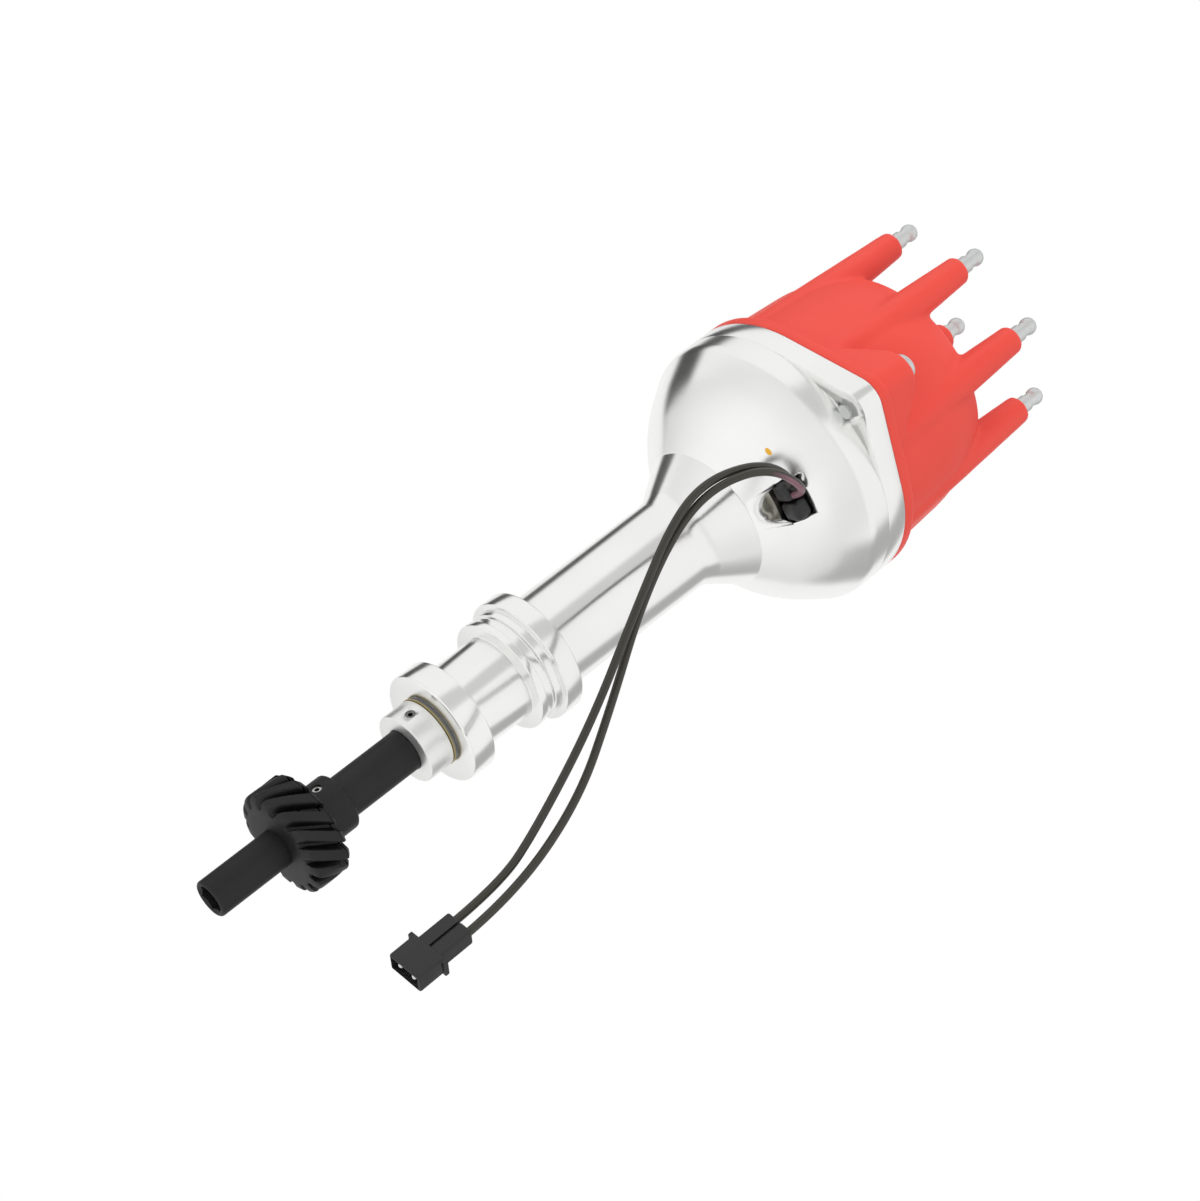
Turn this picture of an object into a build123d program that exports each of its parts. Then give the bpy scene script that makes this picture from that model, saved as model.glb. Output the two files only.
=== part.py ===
import os
from math import atan, cos, degrees, pi, radians, sin, tan

from build123d import *

os.makedirs("parts", exist_ok=True)

# Ignition distributor, millimetres.  +Z runs up the shaft towards the cap, and Z = 0 is
# the face under the housing flange, which seats on the engine block.  -Y is the side of
# one clamp lobe; the wire outlet lies a little to the +X side of it.

# ---------------------------------------------------------------- driving dimensions
# main shaft
shaft_d = 13.49            # 0.531 in journal
nose_d = 12.04             # the end below the gear
shaft_tip_z = -121.4
hex_flats = 7.94           # 5/16 in oil pump drive socket
hex_depth = 14.0
tip_chamfer = 0.8
running_gap = 0.04         # radial clearance of every running fit
face_gap = 0.05            # axial clearance of the thrust stack

# drive gear
gear_teeth = 15
gear_d = 33.9
tooth_depth = 3.5
helix_angle = 34.5         # right handed
gear_rear_z = -82.8
gear_face_w = 12.4
gear_hub_d = 17.8
gear_hub_len = 9.2
gear_recess_d = 19.0
gear_recess = 1.4
roll_pin_d = 3.2
roll_pin_bore_d = 1.5
gear_pin_angle = 223.0     # about +Z, from +X

# thrust collar and washers
collar_d = 23.0
collar_len = 9.0
collar_pin_angle = 230.0
shim_d = 23.2
shim_t = 0.5
washer_d = 22.4
washer_t = 0.85

# housing
foot_z = -36.2
foot_len = 8.5
foot_chamfer = 0.8
neck_d = 28.5
pilot_d = 37.2            # the foot ring and the pilot land share one bore in the block
pilot_len = 8.4
ring_groove_w = 3.0
ring_groove_depth = 1.2
flange_d = 41.4
flange_t = 6.7
stem_d = 31.1
cone_z = 68.1              # where the stem starts to widen
seam_z = 81.8              # turned seam line
seam_d = 48.4
seam_w = 0.35
flare_z = 94.3             # the rounded corner of the bowl
flare_inset = 8.55
flare_round = 7.0
wall_z = 108.4             # where the bowl becomes a cylinder
wall_d = 94.1
rim_z = 123.2              # joint face between the bowl and the cap
lobe_reach = 2.25          # how far the lobes' centres lie outside the bowl
lobe_r = 8.2
lobe_t = 7.7
rim_step = 0.06            # the clamp rim stands this proud of the bowl
bore_d = 18.0              # bushing bore through the stem
bowl_wall_t = 4.65
cavity_z = 109.4
cavity_taper = 7.6
cavity_corner_z = 96.0
ledge_d = 57.0
ledge_z = 89.0             # seat of the pickup plate
ledge_w = 3.7
floor_z = 86.4

# wire outlet
outlet_angle = 290.0       # about +Z, from +X
outlet_w = 14.0
outlet_top_z = 95.6
outlet_r = 22.0            # depth of the pocket, from the axis
grommet_gap = 0.7          # from the pickup plate's ledge to the grommet
grommet_out_r = 36.6
grommet_split = 0.8
grommet_round = 1.2

# bushing and bearing
bushing_len = 27.0
bearing_d = 30.0
bearing_w = 9.0
ball_d = 4.6
ball_count = 9
race_t = 2.6
circlip_t = 1.0
circlip_d = 18.4
circlip_groove = 0.6
circlip_mouth = 70.0

# cap
cap_flange_t = 4.5
cap_step = 2.95            # how far the cap's flange stands out from its wall
cap_draft = 2.0            # the wall leans in by this up to the shoulder
cap_waist_z = 160.0
cap_shoulder = 6.1         # and by this over the shoulder
cap_top_z = 172.6
cap_crown = 1.6
cap_shoulder_round = 9.0
cap_top_round = 1.5
cap_wall_t = 4.1
cap_cavity_corner_z = 156.0
cap_roof_inset = 2.0
cap_cavity_z = 167.6
cap_boss_z = 141.1         # top of the screw lobes
cap_boss_taper = 5.0
cap_boss_root = 5.6         # how deep the lobes run into the wall
cap_boss_inset = 0.3
post_inset = 5.35          # from the cap's waist to the posts' axes
post_tip_z = 195.6
post_tip_d = 9.4
post_root_z = 129.0
post_root_d = 16.0
coil_tip_z = 198.9
coil_root_d = 13.6

# terminals
post_count = 8
terminal_bar_d = 4.8
terminal_foot_z = 144.0
terminal_collar_h = 2.2
terminal_neck_d = 4.5
terminal_neck_h = 1.2
terminal_ball_d = 5.9      # and of the collar under it
terminal_top = 2.2         # from the ball's centre to its flat crown
button_d = 7.0
button_z = 155.4
button_len = 9.0
button_boss_d = 14.0
button_boss_z = 158.4

# screws
cap_screw_d = 4.8
cap_screw_head_d = 8.6
cap_screw_head_h = 2.6
cap_screw_end = 0.9        # how far the tip shows below the lobe
plate_screw_d = 3.0
plate_screw_head_d = 5.4
plate_screw_head_h = 1.8
plate_screw_len = 6.0

# pickup
plate_t = 1.6
plate_in_d = 30.0
plate_screw_inset = 1.9
pickup_angle = 340.0
plate_screw_angle = 15.0
pole_gap = 0.7
pole_w = 5.0
pole_h = 6.0
coil_w = 15.0
coil_gap = 3.5             # from the reluctor to the coil
magnet_gap = 0.34          # from the magnet to the bowl, at the plate's top
lead_bend = 4.0            # from the coil to the bend in its leads
lead_tail = 5.0            # from the outlet's mouth inwards
coil_h = 9.0
magnet_w = 8.0
magnet_t = 2.4

# advance mechanism
shoulder_z = 88.2
journal_d = 10.8
sleeve_d = 17.2
sleeve_top_z = 103.5
reluctor_z = 93.6
reluctor_t = 5.2
reluctor_hub_d = 22.0
reluctor_d = 33.0
paddle_w = 2.6
adv_plate_t = 2.0
adv_plate_r = 24.0
adv_plate_w = 44.0
layer_gap = 0.3            # between the plate and what swings over it
bar_t = 4.0
bar_half_len = 13.5
bar_w = 9.0
bar_hub_d = 8.4
weight_t = 4.0
pivot_x = 15.0
pivot_y = 12.0
pivot_d = 4.0
weight_boss_r = 4.4
weight_in_r = 15.3
weight_out_r = 25.0
weight_end_angle = -50.0
heel_x = 9.0
heel_r = 2.0
heel_gap = 0.3
weight_post_r = 20.5
weight_post_angle = -40.0
plate_post_r = 19.5
plate_post_angle = -95.0
spring_post_d = 2.2
spring_d = 3.6
spring_turns = 9
spring_lift = 3.4          # spring axis above the weights
clip_t = 0.8
clip_d = 7.0
standoff_d = 6.4
standoff_r = 12.5
rotor_screw_d = 2.6
rotor_screw_grip = 5.0

# rotor
rotor_z = 116.5
rotor_base_t = 3.0
rotor_base_d = 42.0
rotor_column_d = 20.0
rotor_column_top_d = 15.0
rotor_arm_z = 141.5
rotor_arm_t = 6.5
rotor_arm_w = 11.0
blade_reach = 3.1          # how far the blade stands out of the arm
blade_t = 1.2
blade_w = 6.0
rotor_air_gap = 0.75
leaf_w = 4.0
leaf_t = 0.5
leaf_gap = 0.35
leaf_foot_r = 10.0
leaf_bend_r = 4.5
leaf_tip_r = 1.8

# signal lead
wire_d = 2.5
plug_x = 47.4
plug_y = -50.0
plug_mouth_z = -106.6
plug_turn = -34.0          # about +Z
plug_w = 11.9
plug_t = 6.4
plug_front_len = 9.6
plug_wall = 0.95
plug_mouth_depth = 7.5
plug_rear_w = 9.4
plug_rear_t = 5.6
plug_rear_len = 11.2
plug_ear_w = 15.2
plug_ear_len = 1.5
plug_groove_w = 1.0
plug_groove_depth = 0.6
plug_pitch = 5.4
pin_d = 1.8
pin_stick_out = 6.3        # from the mouth's floor
pin_seat = 4.0             # how far the pins run into the rear block
wire_seat = 3.0            # how far the wires run into it from behind
wire_z = 92.1
wire_a_side = -4.2         # across the outlet
wire_b_side = -1.2
wire_tail = 2.2            # behind the grommet, inside the bowl
wire_a_turn_r = 40.5       # where each wire bends down
wire_b_turn_r = 45.5
wire_drop = 17.0           # the straight end above the plug
lead_d = 1.6
lead_lift = 6.4

# ---------------------------------------------------------------- derived places
shaft_r = shaft_d / 2
journal_r = journal_d / 2
cavity_d = wall_d - 2 * bowl_wall_t
cavity_corner_d = cavity_d - 2 * cavity_taper
flare_d = wall_d - 2 * flare_inset
floor_d = ledge_d - 2 * ledge_w
lobe_centre = wall_d / 2 + lobe_reach
grommet_in_r = ledge_d / 2 + grommet_gap
wire_start_r = grommet_in_r - wire_tail
cap_wall_d = wall_d - 2 * cap_step
cap_waist_d = cap_wall_d - 2 * cap_draft
cap_top_d = cap_waist_d - 2 * cap_shoulder
cap_cavity_d = cap_wall_d - 2 * cap_wall_t
cap_cavity_top_d = cap_top_d - 2 * cap_roof_inset
cap_boss_in_r = cap_wall_d / 2 - cap_boss_root
post_circle_d = cap_waist_d - 2 * post_inset
plate_screw_circle_d = ledge_d - 2 * plate_screw_inset
coil_in_r = reluctor_d / 2 + coil_gap
ledge_slope = (cavity_corner_d - ledge_d) / 2 / (cavity_corner_z - ledge_z)
coil_out_r = ledge_d / 2 + ledge_slope * plate_t - magnet_gap - magnet_t
lead_r = (coil_in_r + coil_out_r) / 2
foot_top_z = foot_z + foot_len
pilot_z = -pilot_len
stem_r = stem_d / 2
bearing_z = floor_z - bearing_w
gear_front_z = gear_rear_z - gear_face_w
gear_hub_z = gear_rear_z + gear_hub_len
washer_top_z = foot_z - face_gap
shim_top_z = washer_top_z - washer_t - face_gap
collar_top_z = shim_top_z - shim_t - face_gap
collar_pin_z = collar_top_z - collar_len / 2
gear_pin_z = gear_rear_z + gear_hub_len / 2
cap_flange_z = rim_z + cap_flange_t
lobe_z = rim_z - lobe_t
outlet_arc_z = outlet_top_z - 0.46 * outlet_w
adv_plate_z = sleeve_top_z
swing_z = adv_plate_z + adv_plate_t + layer_gap
weight_top_z = swing_z + weight_t
spring_z = weight_top_z + spring_lift
post_top_z = spring_z + spring_d / 2 + 0.3
blade_z = rotor_arm_z + rotor_arm_t
rotor_tip_r = post_circle_d / 2 - terminal_bar_d / 2 - rotor_air_gap
rotor_arm_r = rotor_tip_r - blade_reach
heel_y = bar_w / 2 + heel_gap + heel_r

outlet_plane = Plane(
    origin=(0, 0, 0),
    x_dir=(-sin(radians(outlet_angle)), cos(radians(outlet_angle)), 0),
    z_dir=(cos(radians(outlet_angle)), sin(radians(outlet_angle)), 0),
)
pickup_plane = Plane(origin=(0, 0, ledge_z + plate_t), x_dir=(
    cos(radians(pickup_angle)), sin(radians(pickup_angle)), 0), z_dir=(0, 0, 1))
plug_plane = Plane(origin=(plug_x, plug_y, plug_mouth_z), x_dir=(
    cos(radians(plug_turn)), sin(radians(plug_turn)), 0), z_dir=(0, 0, 1))


def polar(radius, angle):
    """Point at a radius and an angle in degrees about +Z."""
    return radius * cos(radians(angle)), radius * sin(radians(angle))


def lobed_outline(inset=0.0):
    """The outline that the bowl's rim and the cap share: a circle drawn out to two lobes."""
    Circle(wall_d / 2 - inset)
    with Locations((0, lobe_centre), (0, -lobe_centre)):
        Circle(lobe_r - inset)
    make_hull()


def cross_pin(name, z, angle, length):
    """A hollow spring pin pressed across the shaft."""
    with BuildPart() as pin:
        with BuildSketch(Plane(origin=(0, 0, z), z_dir=(*polar(1, angle), 0))):
            Circle(roll_pin_d / 2)
            Circle(roll_pin_bore_d / 2, mode=Mode.SUBTRACT)
        extrude(amount=length / 2, both=True)
    pin.part.label = name
    export_step(pin.part, f"parts/{name}.step")
    return pin.part


def pin_hole(z, angle, reach):
    """The hole for a cross pin, cut in the part that is being built."""
    with BuildSketch(Plane(origin=(0, 0, z), z_dir=(*polar(1, angle), 0))) as hole:
        Circle(roll_pin_d / 2)
    extrude(hole.sketch, amount=reach, both=True, mode=Mode.SUBTRACT)


# ---------------------------------------------------------------- housing
# One turned piece: foot, neck, pilot with its ring groove, seat flange, stem and bowl.
with BuildPart() as housing:
    with BuildSketch(Plane.XZ) as profile:
        with BuildLine():
            Polyline(
                (bore_d / 2, foot_z),
                (pilot_d / 2 - foot_chamfer, foot_z),
                (pilot_d / 2, foot_z + foot_chamfer),
                (pilot_d / 2, foot_top_z),
                (neck_d / 2, foot_top_z),
                (neck_d / 2, pilot_z),
                (pilot_d / 2, pilot_z),
                (pilot_d / 2, 0),
                (flange_d / 2, 0),
                (flange_d / 2, flange_t),
                (stem_r, flange_t),
                (stem_r, cone_z),
                (seam_d / 2, seam_z),
                (flare_d / 2, flare_z),
                (wall_d / 2 - rim_step, wall_z),
                (wall_d / 2 - rim_step, lobe_z),
                (cavity_d / 2, lobe_z),
                (cavity_d / 2, cavity_z),
                (cavity_corner_d / 2, cavity_corner_z),
                (ledge_d / 2, ledge_z),
                (floor_d / 2, ledge_z),
                (floor_d / 2, floor_z),
                (bearing_d / 2, floor_z),
                (bearing_d / 2, bearing_z),
                (bore_d / 2, bearing_z),
                close=True,
            )
        make_face()
        corner = profile.vertices().sort_by_distance((flare_d / 2, flare_z, 0))[0]
        fillet(corner, flare_round)
        with Locations((pilot_d / 2, pilot_z + pilot_len / 2)):
            Rectangle(2 * ring_groove_depth, ring_groove_w, mode=Mode.SUBTRACT)
        with Locations((seam_d / 2, seam_z)):
            Rectangle(2 * seam_w, seam_w, mode=Mode.SUBTRACT)
    revolve(axis=Axis.Z)
    with BuildSketch(Plane.XY.offset(lobe_z)):
        lobed_outline()
        Circle(cavity_d / 2, mode=Mode.SUBTRACT)
    extrude(amount=lobe_t)
    with BuildSketch(Plane.XY.offset(lobe_z - cap_screw_end)):
        with Locations((0, lobe_centre), (0, -lobe_centre)):
            Circle(cap_screw_d / 2)
    extrude(amount=lobe_t + cap_screw_end, mode=Mode.SUBTRACT)
    # the wire outlet, a pocket with a round lower end and a flat top
    with BuildSketch(outlet_plane.offset(outlet_r)):
        with Locations((0, outlet_arc_z)):
            Circle(outlet_w / 2)
        with Locations((0, (outlet_arc_z + outlet_top_z) / 2)):
            Rectangle(outlet_w, outlet_top_z - outlet_arc_z)
        with Locations((0, outlet_top_z + outlet_w / 2)):
            Rectangle(outlet_w, outlet_w, mode=Mode.SUBTRACT)
    extrude(amount=wall_d / 2, mode=Mode.SUBTRACT)
    # tapped holes in the ledge for the pickup plate
    with BuildSketch(Plane.XY.offset(ledge_z)):
        with PolarLocations(plate_screw_circle_d / 2, 3, start_angle=plate_screw_angle):
            Circle(plate_screw_d / 2)
    extrude(amount=-(plate_screw_len - plate_t), mode=Mode.SUBTRACT)
housing.part.label = "housing"
export_step(housing.part, "parts/housing.step")

# ---------------------------------------------------------------- bearings in the housing
with BuildPart() as lower_bushing:
    with BuildSketch(Plane.XY.offset(foot_z)):
        Circle(bore_d / 2)
        Circle(shaft_r + running_gap, mode=Mode.SUBTRACT)
    extrude(amount=bushing_len)
    chamfer(lower_bushing.edges().filter_by(GeomType.CIRCLE).sort_by(Axis.Z)[0:1], 0.5)
lower_bushing.part.label = "lower_bushing"
export_step(lower_bushing.part, "parts/lower_bushing.step")

# deep groove ball bearing: the ball track is a torus a little larger than the balls
ball_circle_r = (bearing_d / 2 + shaft_r) / 2
bearing_mid_z = bearing_z + bearing_w / 2
track_r = ball_d / 2 + 0.06

with BuildPart() as bearing_outer_race:
    with BuildSketch(Plane.XZ):
        with Locations((bearing_d / 2 - race_t / 2, bearing_mid_z)):
            Rectangle(race_t, bearing_w)
        with Locations((ball_circle_r, bearing_mid_z)):
            Circle(track_r, mode=Mode.SUBTRACT)
    revolve(axis=Axis.Z)
bearing_outer_race.part.label = "bearing_outer_race"
export_step(bearing_outer_race.part, "parts/bearing_outer_race.step")

with BuildPart() as bearing_inner_race:
    with BuildSketch(Plane.XZ):
        with Locations((shaft_r + race_t / 2, bearing_mid_z)):
            Rectangle(race_t, bearing_w)
        with Locations((ball_circle_r, bearing_mid_z)):
            Circle(track_r, mode=Mode.SUBTRACT)
    revolve(axis=Axis.Z)
bearing_inner_race.part.label = "bearing_inner_race"
export_step(bearing_inner_race.part, "parts/bearing_inner_race.step")

with BuildPart() as bearing_balls:
    with Locations(Location((0, 0, bearing_mid_z))):
        with PolarLocations(ball_circle_r, ball_count):
            Sphere(ball_d / 2)
bearing_balls.part.label = "bearing_balls"
export_step(bearing_balls.part, "parts/bearing_balls.step")

# ---------------------------------------------------------------- shaft
with BuildPart() as main_shaft:
    with BuildSketch(Plane.XZ):
        with BuildLine():
            Polyline(
                (0, shaft_tip_z),
                (nose_d / 2 - tip_chamfer, shaft_tip_z),
                (nose_d / 2, shaft_tip_z + tip_chamfer),
                (nose_d / 2, gear_front_z + gear_recess),
                (shaft_r, gear_front_z + gear_recess),
                (shaft_r, shoulder_z),
                (journal_r, shoulder_z),
                (journal_r, swing_z),
                (bar_hub_d / 2, swing_z),
                (bar_hub_d / 2, weight_top_z),
                (0, weight_top_z),
                close=True,
            )
        make_face()
    revolve(axis=Axis.Z)
    with BuildSketch(Plane.XY.offset(shaft_tip_z)):
        RegularPolygon(hex_flats / 2, 6, major_radius=False)
    extrude(amount=hex_depth, mode=Mode.SUBTRACT)
    # groove for the circlip that holds the shaft in the ball bearing
    with BuildSketch(Plane.XY.offset(floor_z)):
        Circle(shaft_r)
        Circle(shaft_r - circlip_groove, mode=Mode.SUBTRACT)
    extrude(amount=circlip_t, mode=Mode.SUBTRACT)
    pin_hole(gear_pin_z, gear_pin_angle, shaft_d)
    pin_hole(collar_pin_z, collar_pin_angle, shaft_d)
    with BuildSketch(Plane.XY.offset(weight_top_z)):
        Circle(cap_screw_d / 2 - 0.4)
    extrude(amount=-2 * weight_t, mode=Mode.SUBTRACT)
main_shaft.part.label = "main_shaft"
export_step(main_shaft.part, "parts/main_shaft.step")

with BuildPart() as shaft_circlip:
    with BuildSketch(Plane.XY.offset(floor_z)):
        Circle(circlip_d / 2)
        Circle(shaft_r - circlip_groove, mode=Mode.SUBTRACT)
        with BuildLine():
            Polyline(
                (0, 0),
                polar(circlip_d, -circlip_mouth / 2),
                polar(circlip_d, circlip_mouth / 2),
                close=True,
            )
        make_face(mode=Mode.SUBTRACT)
    extrude(amount=circlip_t)
shaft_circlip.part.label = "shaft_circlip"
export_step(shaft_circlip.part, "parts/shaft_circlip.step")

# ---------------------------------------------------------------- drive gear
# Helical teeth: the tooth spaces are lofted round the blank in twisted steps.
root_r = gear_d / 2 - tooth_depth
twist = degrees(gear_face_w * tan(radians(helix_angle)) / (gear_d / 2 - tooth_depth / 2))
space_deg = 360 / gear_teeth
space_root = 0.34 * space_deg       # angular width of a space at its bottom
space_tip = 0.68 * space_deg        # and at the tooth tips
cutter_steps = 4
cutter_over = 1.0                   # the cutter runs out past each face


def tooth_space(z, turn):
    """Section of one tooth space at a height, turned with the helix."""
    reach = gear_d / 2 + 1
    with BuildSketch(Plane.XY.offset(z)) as section:
        with BuildLine():
            Polyline(
                polar(root_r, turn - space_root / 2),
                polar(reach, turn - space_tip / 2),
                polar(reach, turn + space_tip / 2),
                polar(root_r, turn + space_root / 2),
                close=True,
            )
        make_face()
    return section.sketch


cutter_span = gear_face_w + 2 * cutter_over
cutter_twist = twist * cutter_span / gear_face_w
cutter_sections = [
    tooth_space(
        gear_front_z - cutter_over + cutter_span * k / cutter_steps,
        cutter_twist * k / cutter_steps,
    )
    for k in range(cutter_steps + 1)
]
with BuildPart() as space_cutter:
    loft(cutter_sections, ruled=True)

with BuildPart() as drive_gear:
    with BuildSketch(Plane.XZ):
        with BuildLine():
            Polyline(
                (gear_recess_d / 2, gear_front_z),
                (root_r, gear_front_z),
                (gear_d / 2, gear_front_z + 0.45 * tooth_depth),
                (gear_d / 2, gear_rear_z - 0.3 * tooth_depth),
                (root_r + 0.3 * tooth_depth, gear_rear_z),
                (gear_hub_d / 2, gear_rear_z),
                (gear_hub_d / 2, gear_hub_z - 1.0),
                (gear_hub_d / 2 - 1.4, gear_hub_z),
                (shaft_r, gear_hub_z),
                (shaft_r, gear_front_z + gear_recess),
                (gear_recess_d / 2, gear_front_z + gear_recess),
                close=True,
            )
        make_face()
    revolve(axis=Axis.Z)
    with PolarLocations(0, gear_teeth):
        add(space_cutter.part, mode=Mode.SUBTRACT)
    pin_hole(gear_pin_z, gear_pin_angle, gear_hub_d)
drive_gear.part.label = "drive_gear"
export_step(drive_gear.part, "parts/drive_gear.step")

gear_roll_pin = cross_pin("gear_roll_pin", gear_pin_z, gear_pin_angle, gear_hub_d - 0.5)

# ---------------------------------------------------------------- thrust collar and washers
with BuildPart() as thrust_collar:
    with BuildSketch(Plane.XY.offset(collar_top_z - collar_len)):
        Circle(collar_d / 2)
        Circle(shaft_r, mode=Mode.SUBTRACT)
    extrude(amount=collar_len)
    rims = thrust_collar.edges().filter_by(GeomType.CIRCLE).sort_by(SortBy.RADIUS)[-2:]
    chamfer(rims, 0.5)
    pin_hole(collar_pin_z, collar_pin_angle, collar_d)
thrust_collar.part.label = "thrust_collar"
export_step(thrust_collar.part, "parts/thrust_collar.step")

collar_roll_pin = cross_pin("collar_roll_pin", collar_pin_z, collar_pin_angle, collar_d - 0.6)


def washer(name, outer_d, z, thickness):
    """A flat ring that turns with the shaft."""
    with BuildPart() as ring:
        with BuildSketch(Plane.XY.offset(z)):
            Circle(outer_d / 2)
            Circle(shaft_r + running_gap, mode=Mode.SUBTRACT)
        extrude(amount=thickness)
    ring.part.label = name
    export_step(ring.part, f"parts/{name}.step")
    return ring.part


thrust_shim = washer("thrust_shim", shim_d, shim_top_z - shim_t, shim_t)
thrust_washer = washer("thrust_washer", washer_d, washer_top_z - washer_t, washer_t)

# ---------------------------------------------------------------- magnetic pickup
with BuildPart() as pickup_plate:
    with BuildSketch(Plane.XY.offset(ledge_z)):
        Circle(ledge_d / 2 - 0.2)
        Circle(plate_in_d / 2, mode=Mode.SUBTRACT)
        with PolarLocations(plate_screw_circle_d / 2, 3, start_angle=plate_screw_angle):
            Circle(plate_screw_d / 2, mode=Mode.SUBTRACT)
    extrude(amount=plate_t)
pickup_plate.part.label = "pickup_plate"
export_step(pickup_plate.part, "parts/pickup_plate.step")

with BuildPart() as plate_screws:
    with BuildSketch(Plane.XY.offset(ledge_z + plate_t)):
        with PolarLocations(plate_screw_circle_d / 2, 3, start_angle=plate_screw_angle):
            Circle(plate_screw_head_d / 2)
    extrude(amount=plate_screw_head_h)
    chamfer(plate_screws.edges().group_by(Axis.Z)[-1], 0.4)
    with BuildSketch(Plane.XY.offset(ledge_z + plate_t)):
        with PolarLocations(plate_screw_circle_d / 2, 3, start_angle=plate_screw_angle):
            Circle(plate_screw_d / 2)
    extrude(amount=-plate_screw_len)
plate_screws.part.label = "plate_screws"
export_step(plate_screws.part, "parts/plate_screws.step")

pickup_z = ledge_z + plate_t
pole_r = reluctor_d / 2 + pole_gap
pole_mid = reluctor_z + reluctor_t / 2 - pickup_z
with BuildPart() as pickup_coil:
    with BuildSketch(pickup_plane):
        with Locations(((coil_in_r + coil_out_r) / 2, 0)):
            RectangleRounded(coil_out_r - coil_in_r, coil_w, 1.5)
    extrude(amount=coil_h)
    with BuildSketch(pickup_plane.offset(pole_mid - pole_h / 2)):
        with Locations(((coil_in_r + coil_out_r) / 2, 0)):
            Rectangle(coil_out_r, pole_w)
    extrude(amount=pole_h, mode=Mode.SUBTRACT)
pickup_coil.part.label = "pickup_coil"
export_step(pickup_coil.part, "parts/pickup_coil.step")

with BuildPart() as pickup_pole:
    with BuildSketch(pickup_plane.offset(pole_mid - pole_h / 2)):
        with BuildLine():
            Polyline(
                (pole_r, -pole_w / 4),
                (coil_in_r, -pole_w / 2),
                (coil_out_r, -pole_w / 2),
                (coil_out_r, pole_w / 2),
                (coil_in_r, pole_w / 2),
                (pole_r, pole_w / 4),
                close=True,
            )
        make_face()
    extrude(amount=pole_h)
pickup_pole.part.label = "pickup_pole"
export_step(pickup_pole.part, "parts/pickup_pole.step")

with BuildPart() as pickup_magnet:
    with BuildSketch(pickup_plane):
        with Locations((coil_out_r + magnet_t / 2, 0)):
            Rectangle(magnet_t, magnet_w)
    extrude(amount=coil_h)
pickup_magnet.part.label = "pickup_magnet"
export_step(pickup_magnet.part, "parts/pickup_magnet.step")

# ---------------------------------------------------------------- advance mechanism
sleeve_z = shoulder_z + face_gap
with BuildPart() as advance_sleeve:
    with BuildSketch(Plane.XY.offset(sleeve_z)):
        Circle(sleeve_d / 2)
        Circle(journal_r + running_gap, mode=Mode.SUBTRACT)
    extrude(amount=sleeve_top_z - sleeve_z)
advance_sleeve.part.label = "advance_sleeve"
export_step(advance_sleeve.part, "parts/advance_sleeve.step")

with BuildPart() as reluctor:
    with BuildSketch(Plane.XY.offset(reluctor_z)):
        Circle(reluctor_hub_d / 2)
        with PolarLocations((reluctor_hub_d + reluctor_d) / 4 - 0.5, post_count):
            Rectangle((reluctor_d - reluctor_hub_d) / 2 + 1, paddle_w)
        Circle(reluctor_d / 2, mode=Mode.INTERSECT)
        Circle(sleeve_d / 2, mode=Mode.SUBTRACT)
    extrude(amount=reluctor_t)
reluctor.part.label = "reluctor"
export_step(reluctor.part, "parts/reluctor.step")

pivots = [(pivot_x, pivot_y), (-pivot_x, -pivot_y)]
standoffs = [(0, standoff_r), (0, -standoff_r)]
plate_posts = [polar(plate_post_r, plate_post_angle), polar(plate_post_r, plate_post_angle + 180)]

with BuildPart() as advance_plate:
    with BuildSketch(Plane.XY.offset(adv_plate_z)):
        Circle(adv_plate_r)
        Rectangle(2 * adv_plate_r, adv_plate_w, rotation=40, mode=Mode.INTERSECT)
        Circle(journal_r + running_gap, mode=Mode.SUBTRACT)
        with Locations(*pivots):
            Circle(pivot_d / 2, mode=Mode.SUBTRACT)
        with Locations(*plate_posts):
            Circle(spring_post_d / 2, mode=Mode.SUBTRACT)
    extrude(amount=adv_plate_t)
advance_plate.part.label = "advance_plate"
export_step(advance_plate.part, "parts/advance_plate.step")

with BuildPart() as weight_pivots:
    with BuildSketch(Plane.XY.offset(adv_plate_z)):
        with Locations(*pivots):
            Circle(pivot_d / 2)
    extrude(amount=weight_top_z + clip_t + 0.8 - adv_plate_z)
    with BuildSketch(Plane.XY.offset(adv_plate_z)):
        with Locations(*pivots):
            Circle(pivot_d / 2 + 1)
    extrude(amount=-1.2)
    with BuildSketch(Plane.XY.offset(weight_top_z + face_gap)):
        with Locations(*pivots):
            Circle(pivot_d / 2)
            Circle(pivot_d / 2 - 0.5, mode=Mode.SUBTRACT)
    extrude(amount=clip_t, mode=Mode.SUBTRACT)
weight_pivots.part.label = "weight_pivots"
export_step(weight_pivots.part, "parts/weight_pivots.step")

with BuildPart() as weight_clips:
    with BuildSketch(Plane.XY.offset(weight_top_z + face_gap)):
        with Locations(*pivots):
            Circle(clip_d / 2)
            Circle(pivot_d / 2 - 0.5, mode=Mode.SUBTRACT)
        for x, y in pivots:
            with Locations((x, y + clip_d / 2)):
                Rectangle(0.7 * pivot_d, clip_d, mode=Mode.SUBTRACT)
    extrude(amount=clip_t)
weight_clips.part.label = "weight_clips"
export_step(weight_clips.part, "parts/weight_clips.step")

with BuildPart() as spring_posts:
    with BuildSketch(Plane.XY.offset(adv_plate_z)):
        with Locations(*plate_posts):
            Circle(spring_post_d / 2)
    extrude(amount=post_top_z - adv_plate_z)
spring_posts.part.label = "spring_posts"
export_step(spring_posts.part, "parts/spring_posts.step")

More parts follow.
